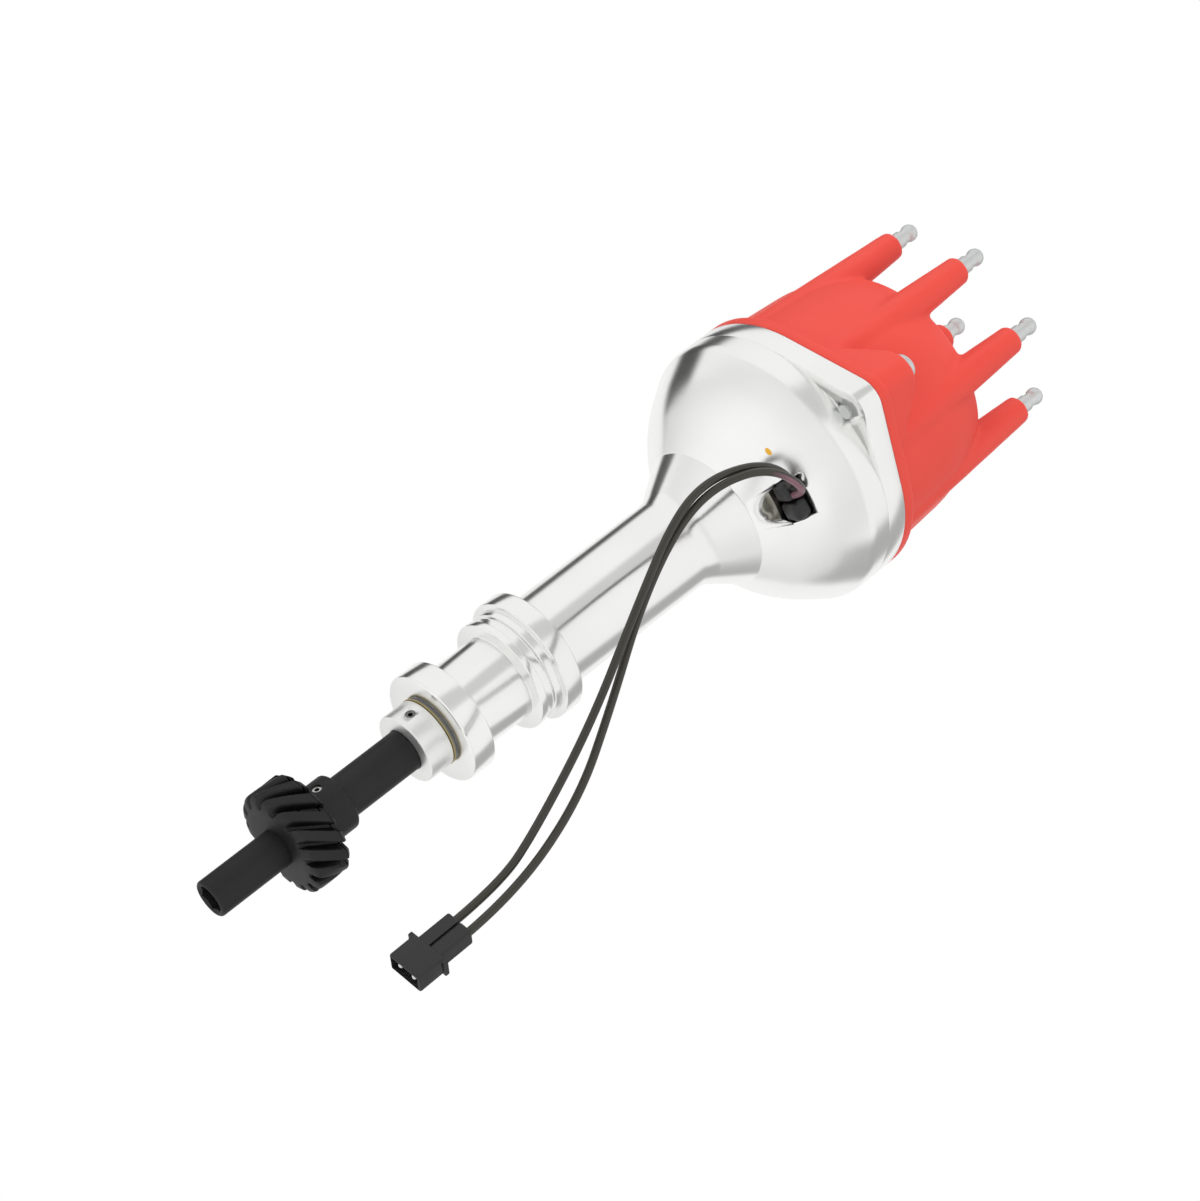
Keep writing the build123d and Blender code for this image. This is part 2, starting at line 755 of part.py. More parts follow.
with BuildPart() as rotor_standoffs:
    with BuildSketch(Plane.XY.offset(adv_plate_z + adv_plate_t)):
        with Locations(*standoffs):
            RegularPolygon(standoff_d / 2, 6, major_radius=False)
            Circle(rotor_screw_d / 2, mode=Mode.SUBTRACT)
    extrude(amount=rotor_z - adv_plate_z - adv_plate_t)
rotor_standoffs.part.label = "rotor_standoffs"
export_step(rotor_standoffs.part, "parts/rotor_standoffs.step")

# the centre bar turns with the shaft, and the heels of the weights bear on its flanks
with BuildPart() as centre_bar:
    with BuildSketch(Plane.XY.offset(swing_z)):
        SlotOverall(2 * bar_half_len, bar_w)
        Circle(bar_hub_d / 2, mode=Mode.SUBTRACT)
    extrude(amount=bar_t)
centre_bar.part.label = "centre_bar"
export_step(centre_bar.part, "parts/centre_bar.step")

with BuildPart() as bar_screw:
    with BuildSketch(Plane.XY.offset(weight_top_z)):
        Circle(bar_hub_d / 2 + 1)
    extrude(amount=2.2)
    chamfer(bar_screw.edges().group_by(Axis.Z)[-1], 0.5)
    with BuildSketch(Plane.XY.offset(weight_top_z)):
        Circle(cap_screw_d / 2 - 0.4)
    extrude(amount=-2 * weight_t)
bar_screw.part.label = "bar_screw"
export_step(bar_screw.part, "parts/bar_screw.step")

pivot_angle = degrees(atan(pivot_y / pivot_x))
mass_mid_angle = (pivot_angle + weight_end_angle) / 2
weight_post_xy = polar(weight_post_r, weight_post_angle)


def weight(name, turn):
    """A flyweight: a curved mass, its pivot boss, and a heel that reaches the centre bar."""
    with BuildPart() as piece:
        with BuildSketch(Plane.XY.offset(swing_z).rotated((0, 0, turn))):
            with BuildLine():
                ThreePointArc(
                    polar(weight_out_r, weight_end_angle),
                    polar(weight_out_r, mass_mid_angle),
                    polar(weight_out_r - 0.6, pivot_angle),
                )
                Line(polar(weight_out_r - 0.6, pivot_angle), polar(weight_in_r, pivot_angle))
                ThreePointArc(
                    polar(weight_in_r, pivot_angle),
                    polar(weight_in_r, mass_mid_angle),
                    polar(weight_in_r, weight_end_angle),
                )
                Line(polar(weight_in_r, weight_end_angle), polar(weight_out_r, weight_end_angle))
            make_face()
            with Locations((pivot_x, pivot_y)):
                Circle(weight_boss_r)
            with BuildLine():
                Polyline(
                    (pivot_x, pivot_y - heel_r),
                    (heel_x, heel_y - heel_r),
                    (heel_x - heel_r, heel_y),
                    (pivot_x - 3, pivot_y + heel_r),
                    close=True,
                )
            make_face()
            with Locations((heel_x, heel_y)):
                Circle(heel_r)
            with Locations((pivot_x, pivot_y)):
                Circle(pivot_d / 2 + running_gap, mode=Mode.SUBTRACT)
        extrude(amount=weight_t)
        with BuildSketch(Plane.XY.offset(weight_top_z).rotated((0, 0, turn))):
            with Locations(weight_post_xy):
                Circle(spring_post_d / 2)
        extrude(amount=post_top_z - weight_top_z)
    piece.part.label = name
    export_step(piece.part, f"parts/{name}.step")
    return piece.part


weight_a = weight("weight_a", 0)
weight_b = weight("weight_b", 180)


def advance_spring(name, turn):
    """A close wound tension spring, drawn between its two posts as ridged turns."""
    start = Vector(*weight_post_xy, 0)
    end = Vector(*plate_posts[0], 0)
    along = (end - start).normalized()
    origin = (start + along * (spring_post_d / 2 + 0.15)).rotate(Axis.Z, turn)
    along = along.rotate(Axis.Z, turn)
    length = (end - start).length - spring_post_d - 0.3
    pitch = length / spring_turns
    core_r = spring_d / 2 - 0.35
    points = [(0, 0), (0, core_r)]
    for k in range(spring_turns):
        points += [((k + 0.5) * pitch, spring_d / 2), ((k + 1) * pitch, core_r)]
    points.append((length, 0))
    with BuildPart() as coil:
        with BuildSketch(Plane(origin=(origin.X, origin.Y, spring_z), x_dir=along)):
            with BuildLine():
                Polyline(*points, close=True)
            make_face()
        revolve(axis=Axis((origin.X, origin.Y, spring_z), (along.X, along.Y, 0)))
    coil.part.label = name
    export_step(coil.part, f"parts/{name}.step")
    return coil.part


spring_a = advance_spring("spring_a", 0)
spring_b = advance_spring("spring_b", 180)

# ---------------------------------------------------------------- rotor
column_z = rotor_z + rotor_base_t
with BuildPart() as rotor:
    with BuildSketch(Plane.XY.offset(rotor_z)):
        Circle(rotor_base_d / 2)
    extrude(amount=rotor_base_t)
    with BuildSketch(Plane.XY.offset(column_z)):
        Circle(rotor_column_d / 2)
    with BuildSketch(Plane.XY.offset(blade_z)):
        Circle(rotor_column_top_d / 2)
    loft()
    # the arm, with a web under it
    with BuildSketch(Plane.XZ.offset(-rotor_arm_w / 2)):
        with BuildLine():
            Polyline(
                (0, blade_z),
                (rotor_arm_r, blade_z),
                (rotor_arm_r, rotor_arm_z),
                (rotor_column_d / 2, column_z + 4),
                (0, column_z + 4),
                close=True,
            )
        make_face()
    extrude(amount=rotor_arm_w)
    with BuildSketch(Plane.XY.offset(rotor_z)):
        with Locations(*standoffs):
            Circle(rotor_screw_d / 2)
    extrude(amount=blade_z - rotor_z, mode=Mode.SUBTRACT)
    with BuildSketch(Plane.XY.offset(column_z)):
        with Locations(*standoffs):
            Circle(plate_screw_head_d / 2 + 0.3)
    extrude(amount=blade_z - column_z, mode=Mode.SUBTRACT)
rotor.part.label = "rotor"
export_step(rotor.part, "parts/rotor.step")

with BuildPart() as rotor_screws:
    with BuildSketch(Plane.XY.offset(column_z)):
        with Locations(*standoffs):
            Circle(plate_screw_head_d / 2)
    extrude(amount=plate_screw_head_h)
    chamfer(rotor_screws.edges().group_by(Axis.Z)[-1], 0.4)
    with BuildSketch(Plane.XY.offset(column_z)):
        with Locations(*standoffs):
            Circle(rotor_screw_d / 2)
    extrude(amount=-(rotor_base_t + rotor_screw_grip))
rotor_screws.part.label = "rotor_screws"
export_step(rotor_screws.part, "parts/rotor_screws.step")

with BuildPart() as rotor_blade:
    with BuildSketch(Plane.XY.offset(blade_z)):
        Circle(blade_w / 2 + 1)
        with Locations((rotor_tip_r / 2, 0)):
            Rectangle(rotor_tip_r, blade_w)
        Circle(rotor_tip_r, mode=Mode.INTERSECT)
    extrude(amount=blade_t)
rotor_blade.part.label = "rotor_blade"
export_step(rotor_blade.part, "parts/rotor_blade.step")

# leaf that springs up to the carbon button in the cap
leaf_z = blade_z + blade_t
leaf_top_z = button_z - leaf_gap
with BuildPart() as rotor_leaf:
    with BuildSketch(Plane.XZ.offset(-leaf_w / 2)):
        with BuildLine():
            spine = Polyline(
                (leaf_foot_r, leaf_z + leaf_t / 2),
                (leaf_bend_r, leaf_z + leaf_t / 2),
                (leaf_tip_r, leaf_top_z - leaf_t / 2),
                (-leaf_tip_r, leaf_top_z - leaf_t / 2),
            )
            offset(spine, amount=leaf_t / 2, side=Side.BOTH)
        make_face()
    extrude(amount=leaf_w)
rotor_leaf.part.label = "rotor_leaf"
export_step(rotor_leaf.part, "parts/rotor_leaf.step")

# ---------------------------------------------------------------- cap
post_angles = [360 / post_count * (k + 0.5) + 90 for k in range(post_count)]
post_places = [polar(post_circle_d / 2, angle) for angle in post_angles]

# the moulding before it is hollowed: rim flange, two screw lobes and the turned drum
with BuildPart() as cap_blank:
    with BuildSketch(Plane.XY.offset(rim_z)):
        lobed_outline()
    extrude(amount=cap_flange_t)
    with BuildSketch(Plane.XY.offset(cap_flange_z)):
        lobed_outline(cap_boss_inset)
        Rectangle(wall_d, 2 * cap_boss_in_r, mode=Mode.SUBTRACT)
    extrude(amount=cap_boss_z - cap_flange_z, taper=cap_boss_taper)
    with BuildSketch(Plane.XZ) as body:
        with BuildLine():
            Polyline(
                (0, rim_z),
                (cap_wall_d / 2, rim_z),
                (cap_wall_d / 2, cap_flange_z),
                (cap_waist_d / 2, cap_waist_z),
                (cap_top_d / 2, cap_top_z),
                (coil_root_d / 2, cap_top_z + cap_crown),
                (0, cap_top_z + cap_crown),
                close=True,
            )
        make_face()
        fillet(body.vertices().sort_by_distance((cap_waist_d / 2, cap_waist_z, 0))[0], cap_shoulder_round)
        fillet(body.vertices().sort_by_distance((cap_top_d / 2, cap_top_z, 0))[0], cap_top_round)
    revolve(axis=Axis.Z)

with BuildPart() as cap:
    add(cap_blank.part)
    # the inside: a plain drum with a boss for the carbon button
    with BuildSketch(Plane.XZ):
        with BuildLine():
            Polyline(
                (0, rim_z),
                (cap_cavity_d / 2, rim_z),
                (cap_cavity_d / 2, cap_cavity_corner_z),
                (cap_cavity_top_d / 2, cap_cavity_z),
                (button_boss_d / 2, cap_cavity_z),
                (button_boss_d / 2, button_boss_z),
                (0, button_boss_z),
                close=True,
            )
        make_face()
    revolve(axis=Axis.Z, mode=Mode.SUBTRACT)
    # bores for the terminals, the button and the screws
    with BuildSketch(Plane.XY.offset(terminal_foot_z)):
        with Locations(*post_places):
            Circle(terminal_bar_d / 2)
    extrude(amount=post_tip_z - terminal_foot_z, mode=Mode.SUBTRACT)
    with BuildSketch(Plane.XY.offset(button_boss_z)):
        Circle(terminal_bar_d / 2)
    extrude(amount=coil_tip_z - button_boss_z, mode=Mode.SUBTRACT)
    with BuildSketch(Plane.XY.offset(button_boss_z)):
        Circle(button_d / 2 + running_gap)
    extrude(amount=button_z + button_len - button_boss_z, mode=Mode.SUBTRACT)
    with BuildSketch(Plane.XY.offset(rim_z)):
        with Locations((0, lobe_centre), (0, -lobe_centre)):
            Circle(cap_screw_d / 2)
    extrude(amount=cap_boss_z - rim_z, mode=Mode.SUBTRACT)
cap.part.label = "cap"
export_step(cap.part, "parts/cap.step")

# the plug posts, which run down the wall as shallow ribs, and the coil post in the middle
with BuildPart() as cap_posts:
    for x, y in post_places:
        with BuildSketch(Plane(origin=(x, y, post_root_z))):
            Circle(post_root_d / 2)
        with BuildSketch(Plane(origin=(x, y, post_tip_z))):
            Circle(post_tip_d / 2)
        loft()
    with BuildSketch(Plane.XY.offset(cap_top_z)):
        Circle(coil_root_d / 2)
    with BuildSketch(Plane.XY.offset(coil_tip_z)):
        Circle(post_tip_d / 2)
    loft()
    add(cap_blank.part, mode=Mode.SUBTRACT)
    with BuildSketch(Plane.XY.offset(terminal_foot_z)):
        with Locations(*post_places):
            Circle(terminal_bar_d / 2)
        Circle(terminal_bar_d / 2)
    extrude(amount=coil_tip_z - terminal_foot_z, mode=Mode.SUBTRACT)
cap_posts.part.label = "cap_posts"
export_step(cap_posts.part, "parts/cap_posts.step")

with BuildPart() as cap_screws:
    with BuildSketch(Plane.XY.offset(cap_boss_z)):
        with Locations((0, lobe_centre), (0, -lobe_centre)):
            Circle(cap_screw_head_d / 2)
    extrude(amount=cap_screw_head_h)
    fillet(cap_screws.edges().group_by(Axis.Z)[-1], 1.4)
    with BuildSketch(Plane.XY.offset(cap_boss_z)):
        with Locations((0, lobe_centre), (0, -lobe_centre)):
            Circle(cap_screw_d / 2)
    extrude(amount=-(cap_boss_z - lobe_z + cap_screw_end))
cap_screws.part.label = "cap_screws"
export_step(cap_screws.part, "parts/cap_screws.step")


def terminal(foot_z, tip_z):
    """One post terminal on the axis: bar, collar, neck and ball with a flat crown."""
    collar_z = tip_z + terminal_collar_h
    neck_z = collar_z + terminal_neck_h
    ball_r = terminal_ball_d / 2
    neck_r = terminal_neck_d / 2
    ball_z = neck_z + (ball_r**2 - neck_r**2) ** 0.5
    crown_z = ball_z + terminal_top
    crown_r = (ball_r**2 - terminal_top**2) ** 0.5
    with BuildPart() as piece:
        with BuildSketch(Plane.XZ):
            with BuildLine():
                Polyline(
                    (0, crown_z),
                    (0, foot_z),
                    (terminal_bar_d / 2, foot_z),
                    (terminal_bar_d / 2, tip_z),
                    (terminal_ball_d / 2, tip_z),
                    (terminal_ball_d / 2, collar_z),
                    (neck_r, collar_z),
                    (neck_r, neck_z),
                )
                ThreePointArc((neck_r, neck_z), (ball_r, ball_z), (crown_r, crown_z))
                Line((crown_r, crown_z), (0, crown_z))
            make_face()
        revolve(axis=Axis.Z)
    return piece.part


post_terminal = terminal(terminal_foot_z, post_tip_z)
with BuildPart() as plug_terminals:
    with Locations(*post_places):
        add(post_terminal)
plug_terminals.part.label = "plug_terminals"
export_step(plug_terminals.part, "parts/plug_terminals.step")

with BuildPart() as coil_terminal:
    add(terminal(button_z + button_len, coil_tip_z))
coil_terminal.part.label = "coil_terminal"
export_step(coil_terminal.part, "parts/coil_terminal.step")

with BuildPart() as carbon_button:
    with BuildSketch(Plane.XY.offset(button_z)):
        Circle(button_d / 2)
    extrude(amount=button_len)
    chamfer(carbon_button.edges().group_by(Axis.Z)[0], 0.8)
carbon_button.part.label = "carbon_button"
export_step(carbon_button.part, "parts/carbon_button.step")

# ---------------------------------------------------------------- grommet and signal lead
with BuildPart() as grommet:
    with BuildSketch(outlet_plane.offset(grommet_in_r)):
        with Locations((0, (ledge_z + outlet_top_z) / 2)):
            RectangleRounded(outlet_w, outlet_top_z - ledge_z, grommet_round)
        with Locations((0, ledge_z)):
            Rectangle(grommet_split, outlet_top_z - ledge_z, mode=Mode.SUBTRACT)
        with Locations((wire_a_side, wire_z), (wire_b_side, wire_z)):
            Circle(wire_d / 2, mode=Mode.SUBTRACT)
    extrude(amount=grommet_out_r - grommet_in_r)
grommet.part.label = "grommet"
export_step(grommet.part, "parts/grommet.step")

plug_rear_z = plug_mouth_z + plug_front_len + plug_rear_len


def plug_wire_end(side):
    """Where a wire ends in the plug, and the point straight above it."""
    end = plug_plane.from_local_coords((side, 0, plug_rear_z - wire_seat - plug_mouth_z))
    return [end + Vector(0, 0, wire_seat + wire_drop), end]


def outlet_point(side, radius):
    """A point on a wire's level in the outlet, from the axis outwards."""
    return outlet_plane.from_local_coords((side, wire_z, radius))


wire_routes = {
    "signal_wire_a": [
        outlet_point(wire_a_side, wire_start_r),
        outlet_point(wire_a_side, wire_a_turn_r),
        Vector(-2.0, -50.0, 82.2),
        Vector(-8.7, -54.0, 61.5),
        Vector(-6.3, -55.0, 42.6),
        Vector(8.6, -54.0, 13.4),
        Vector(26.1, -52.0, -18.5),
        Vector(39.5, -50.0, -50.6),
        *plug_wire_end(-plug_pitch / 2),
    ],
    "signal_wire_b": [
        outlet_point(wire_b_side, wire_start_r),
        outlet_point(wire_b_side, wire_b_turn_r),
        Vector(-0.3, -53.5, 79.9),
        Vector(-6.0, -54.2, 61.0),
        Vector(-3.5, -52.5, 43.0),
        Vector(8.0, -50.5, 18.5),
        Vector(26.0, -50.0, -9.5),
        Vector(41.0, -49.2, -35.0),
        *plug_wire_end(plug_pitch / 2),
    ],
}


def tube(points, diameter):
    """A round tube along a route, with an arc at every bend as wide as its runs allow."""
    radii = []
    for before, at, after in zip(points, points[1:], points[2:]):
        half_turn = radians((at - before).get_angle(after - at)) / 2
        shorter = min((at - before).length, (after - at).length)
        radii.append(0.45 * shorter / tan(half_turn))
    with BuildPart() as piece:
        with BuildLine() as route:
            FilletPolyline(*points, radius=radii)
        with BuildSketch(Plane(origin=points[0], z_dir=points[1] - points[0])):
            Circle(diameter / 2)
        sweep(path=route.wire())
    print("radii", [round(radius, 1) for radius in radii])
    print("length", round(route.wire().length, 1), "section x length", round(
        pi * diameter**2 / 4 * route.wire().length, 1), "volume", round(piece.part.volume, 1))
    return piece.part


signal_wires = {}
for name, points in wire_routes.items():
    signal_wires[name] = tube(points, wire_d)
    signal_wires[name].label = name
    export_step(signal_wires[name], f"parts/{name}.step")

# the coil's own leads, joined to the signal wires behind the grommet
with BuildPart() as pickup_leads:
    for side in (wire_a_side, wire_b_side):
        add(tube([
            pickup_plane.from_local_coords((lead_r, -coil_w / 2, lead_lift + side)),
            pickup_plane.from_local_coords((lead_r, -coil_w / 2 - lead_bend, lead_lift + side)),
            outlet_point(side, wire_start_r - lead_tail),
            outlet_point(side, wire_start_r),
        ], lead_d))
pickup_leads.part.label = "pickup_leads"
export_step(pickup_leads.part, "parts/pickup_leads.step")

with BuildPart() as plug_housing:
    with BuildSketch(plug_plane):
        RectangleRounded(plug_w, plug_t, 0.8)
    extrude(amount=plug_front_len)
    with BuildSketch(plug_plane.offset(plug_front_len - plug_ear_len)):
        Rectangle(plug_ear_w, plug_t - 2 * plug_wall)
    extrude(amount=plug_ear_len)
    with BuildSketch(plug_plane.offset(plug_front_len)):
        RectangleRounded(plug_rear_w, plug_rear_t, 0.8)
    extrude(amount=plug_rear_len)
    with BuildSketch(plug_plane):
        Rectangle(plug_w - 2 * plug_wall, plug_t - 2 * plug_wall)
    extrude(amount=plug_mouth_depth, mode=Mode.SUBTRACT)
    # the groove down the outer flat, and the bores for pins and wires
    with BuildSketch(plug_plane.offset(plug_front_len)):
        with Locations((0, -plug_rear_t / 2)):
            Rectangle(plug_groove_w, 2 * plug_groove_depth)
    extrude(amount=plug_rear_len, mode=Mode.SUBTRACT)
    with BuildSketch(plug_plane):
        with Locations((-plug_pitch / 2, 0), (plug_pitch / 2, 0)):
            Circle(pin_d / 2)
    extrude(amount=plug_front_len + pin_seat, mode=Mode.SUBTRACT)
    with BuildSketch(plug_plane.offset(plug_front_len + plug_rear_len)):
        with Locations((-plug_pitch / 2, 0), (plug_pitch / 2, 0)):
            Circle(wire_d / 2)
    extrude(amount=-wire_seat, mode=Mode.SUBTRACT)
plug_housing.part.label = "plug_housing"
export_step(plug_housing.part, "parts/plug_housing.step")

with BuildPart() as plug_pins:
    with BuildSketch(plug_plane.offset(plug_mouth_depth - pin_stick_out)):
        with Locations((-plug_pitch / 2, 0), (plug_pitch / 2, 0)):
            Circle(pin_d / 2)
    extrude(amount=pin_stick_out + plug_front_len - plug_mouth_depth + pin_seat)
plug_pins.part.label = "plug_pins"
export_step(plug_pins.part, "parts/plug_pins.step")
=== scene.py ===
import math

import bmesh
import bpy
from mathutils import Matrix, Vector


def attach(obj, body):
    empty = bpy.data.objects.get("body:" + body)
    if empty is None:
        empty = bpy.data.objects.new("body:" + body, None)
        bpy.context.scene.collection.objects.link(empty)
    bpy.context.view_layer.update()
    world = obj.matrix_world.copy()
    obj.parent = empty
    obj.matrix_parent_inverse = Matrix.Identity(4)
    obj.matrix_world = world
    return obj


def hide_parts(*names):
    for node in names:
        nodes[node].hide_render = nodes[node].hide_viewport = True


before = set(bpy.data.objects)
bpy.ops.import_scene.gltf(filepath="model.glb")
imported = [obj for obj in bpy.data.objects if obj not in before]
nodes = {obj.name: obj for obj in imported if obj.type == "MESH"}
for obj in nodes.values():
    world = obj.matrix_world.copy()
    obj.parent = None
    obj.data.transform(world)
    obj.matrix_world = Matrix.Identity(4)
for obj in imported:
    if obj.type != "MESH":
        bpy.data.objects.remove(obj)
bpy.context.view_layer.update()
mm = 0.001

# camera: low and in front, rolled so that the shaft points down to the left
camera = {
    "place": (0.0, -0.7543, -0.3558),
    "right": (0.60923, -0.36446, 0.70428),
    "up": (-0.79300, -0.27986, 0.54114),
    "lens": 82.962,
}
lensData = bpy.data.cameras.new("studioCamera")
lensData.sensor_fit = "HORIZONTAL"
lensData.sensor_width = 36.0
lensData.lens = camera["lens"]
lensData.clip_end = 20.0
cameraObject = bpy.data.objects.new("studioCamera", lensData)
bpy.context.scene.collection.objects.link(cameraObject)
rightAxis = Vector(camera["right"]).normalized()
upAxis = Vector(camera["up"])
upAxis = (upAxis - rightAxis * upAxis.dot(rightAxis)).normalized()
backAxis = rightAxis.cross(upAxis)
turned = Matrix((rightAxis, upAxis, backAxis)).transposed().to_4x4()
turned.translation = Vector(camera["place"])
cameraObject.matrix_world = turned
bpy.context.scene.camera = cameraObject
print("camera set")


def colour(code):
    # sRGB hex to the linear values that shaders read
    channels = [int(code[i:i + 2], 16) / 255 for i in (1, 3, 5)]
    linear = [c / 12.92 if c <= 0.04045 else ((c + 0.055) / 1.055) ** 2.4 for c in channels]
    return (*linear, 1.0)


def addNode(tree, kind, links=(), **settings):
    # one node: settings by attribute or by input name, links as (input, output socket)
    node = tree.nodes.new(kind)
    for name, value in settings.items():
        if hasattr(node, name):
            setattr(node, name, value)
        else:
            node.inputs[name.replace("_", " ")].default_value = value
    for target, source in links:
        tree.links.new(source, node.inputs[target])
    return node


def blendColours(tree, factor, first, second):
    # the Mix node keeps its colour sockets at 6 and 7, and its colour result at 2
    mix = addNode(tree, "ShaderNodeMix", [("Factor", factor)], data_type="RGBA")
    for socket, tone in ((6, first), (7, second)):
        if isinstance(tone, str):
            mix.inputs[socket].default_value = colour(tone)
        else:
            tree.links.new(tone.outputs[2], mix.inputs[socket])
    return mix


def newMaterial(name):
    # an empty material and its node tree
    material = bpy.data.materials.new(name)
    material.use_nodes = True
    material.node_tree.nodes.clear()
    return material, material.node_tree


def finishMaterial(tree, shader):
    addNode(tree, "ShaderNodeOutputMaterial", [("Surface", shader.outputs[0])])


# what the finishes share: the first four in mm, then the swing of the gloss about its mean
finishDetail = {
    "stain": 28.0, "cloud": 22.0, "ringDepth": 0.02, "grainDepth": 0.05,
    "glossLow": 0.8, "glossHigh": 1.25, "coatRoughness": 0.2, "stripeSoftness": 0.12,
}


def turnedMetal(name, base, dark, roughness, ringMm, bump, aniso=0.0):
    # lathe-turned metal: rings along Z catch the light and vary the gloss, and a slow stain varies the
    # tone
    material, tree = newMaterial(name)
    place = addNode(tree, "ShaderNodeTexCoord")
    split = addNode(tree, "ShaderNodeSeparateXYZ", [(0, place.outputs["Object"])])
    ringPlace = addNode(tree, "ShaderNodeCombineXYZ", [("Z", split.outputs["Z"])])
    rings = addNode(tree, "ShaderNodeTexNoise", [("Vector", ringPlace.outputs[0])],
                    Scale=1 / (ringMm * mm), Detail=3.0)
    stain = addNode(tree, "ShaderNodeTexNoise", [("Vector", place.outputs["Object"])],
                    Scale=1 / (finishDetail["stain"] * mm), Detail=2.0)
    tone = blendColours(tree, stain.outputs["Fac"], base, dark)
    gloss = addNode(tree, "ShaderNodeMapRange", [("Value", rings.outputs["Fac"])])
    gloss.inputs["To Min"].default_value = roughness * finishDetail["glossLow"]
    gloss.inputs["To Max"].default_value = roughness * finishDetail["glossHigh"]
    relief = addNode(tree, "ShaderNodeBump", [("Height", rings.outputs["Fac"])],
                     Strength=bump, Distance=finishDetail["ringDepth"] * mm)
    shader = addNode(tree, "ShaderNodeBsdfPrincipled", [
        ("Base Color", tone.outputs[2]),
        ("Roughness", gloss.outputs["Result"]),
        ("Normal", relief.outputs["Normal"]),
    ], Metallic=1.0)
    if aniso:
        around = addNode(tree, "ShaderNodeTangent", direction_type="RADIAL", axis="Z")
        tree.links.new(around.outputs[0], shader.inputs["Tangent"])
        shader.inputs["Anisotropic"].default_value = aniso
        shader.inputs["Anisotropic Rotation"].default_value = 0.25
    finishMaterial(tree, shader)
    return material


def stripedInsulation(name, base, stripe, facing, edge, fromZ, toZ, roughness):
    # wire insulation with a coloured tracer along one side, which twists out of sight lower down
    material, tree = newMaterial(name)
    form = addNode(tree, "ShaderNodeNewGeometry")
    side = addNode(tree, "ShaderNodeVectorMath", [(0, form.outputs["Normal"])], operation="DOT_PRODUCT")
    side.inputs[1].default_value = facing
    band = addNode(tree, "ShaderNodeMapRange", [("Value", side.outputs["Value"])])
    band.inputs["From Min"].default_value = edge
    band.inputs["From Max"].default_value = edge + finishDetail["stripeSoftness"]
    place = addNode(tree, "ShaderNodeTexCoord")
    split = addNode(tree, "ShaderNodeSeparateXYZ", [(0, place.outputs["Object"])])
    rise = addNode(tree, "ShaderNodeMapRange", [("Value", split.outputs["Z"])])
    rise.inputs["From Min"].default_value = fromZ * mm
    rise.inputs["From Max"].default_value = toZ * mm
    both = addNode(tree, "ShaderNodeMath", [(0, band.outputs["Result"]), (1, rise.outputs["Result"])],
                   operation="MULTIPLY")
    tone = blendColours(tree, both.outputs[0], base, stripe)
    finishMaterial(tree, addNode(tree, "ShaderNodeBsdfPrincipled", [("Base Color", tone.outputs[2])],
                                 Roughness=roughness))
    return material


def mouldedPlastic(name, base, shade, roughness, grainMm, bump, ior=1.5, coat=0.0):
    # moulded plastic or rubber: a fine grain and a slight change of tone
    material, tree = newMaterial(name)
    place = addNode(tree, "ShaderNodeTexCoord")
    grain = addNode(tree, "ShaderNodeTexNoise", [("Vector", place.outputs["Object"])],
                    Scale=1 / (grainMm * mm), Detail=3.0)
    cloud = addNode(tree, "ShaderNodeTexNoise", [("Vector", place.outputs["Object"])],
                    Scale=1 / (finishDetail["cloud"] * mm), Detail=2.0)
    tone = blendColours(tree, cloud.outputs["Fac"], base, shade)
    relief = addNode(tree, "ShaderNodeBump", [("Height", grain.outputs["Fac"])],
                     Strength=bump, Distance=finishDetail["grainDepth"] * mm)
    shader = addNode(tree, "ShaderNodeBsdfPrincipled", [
        ("Base Color", tone.outputs[2]),
        ("Normal", relief.outputs["Normal"]),
    ], Roughness=roughness, IOR=ior)
    shader.inputs["Coat Weight"].default_value = coat
    shader.inputs["Coat Roughness"].default_value = finishDetail["coatRoughness"]
    finishMaterial(tree, shader)
    return material


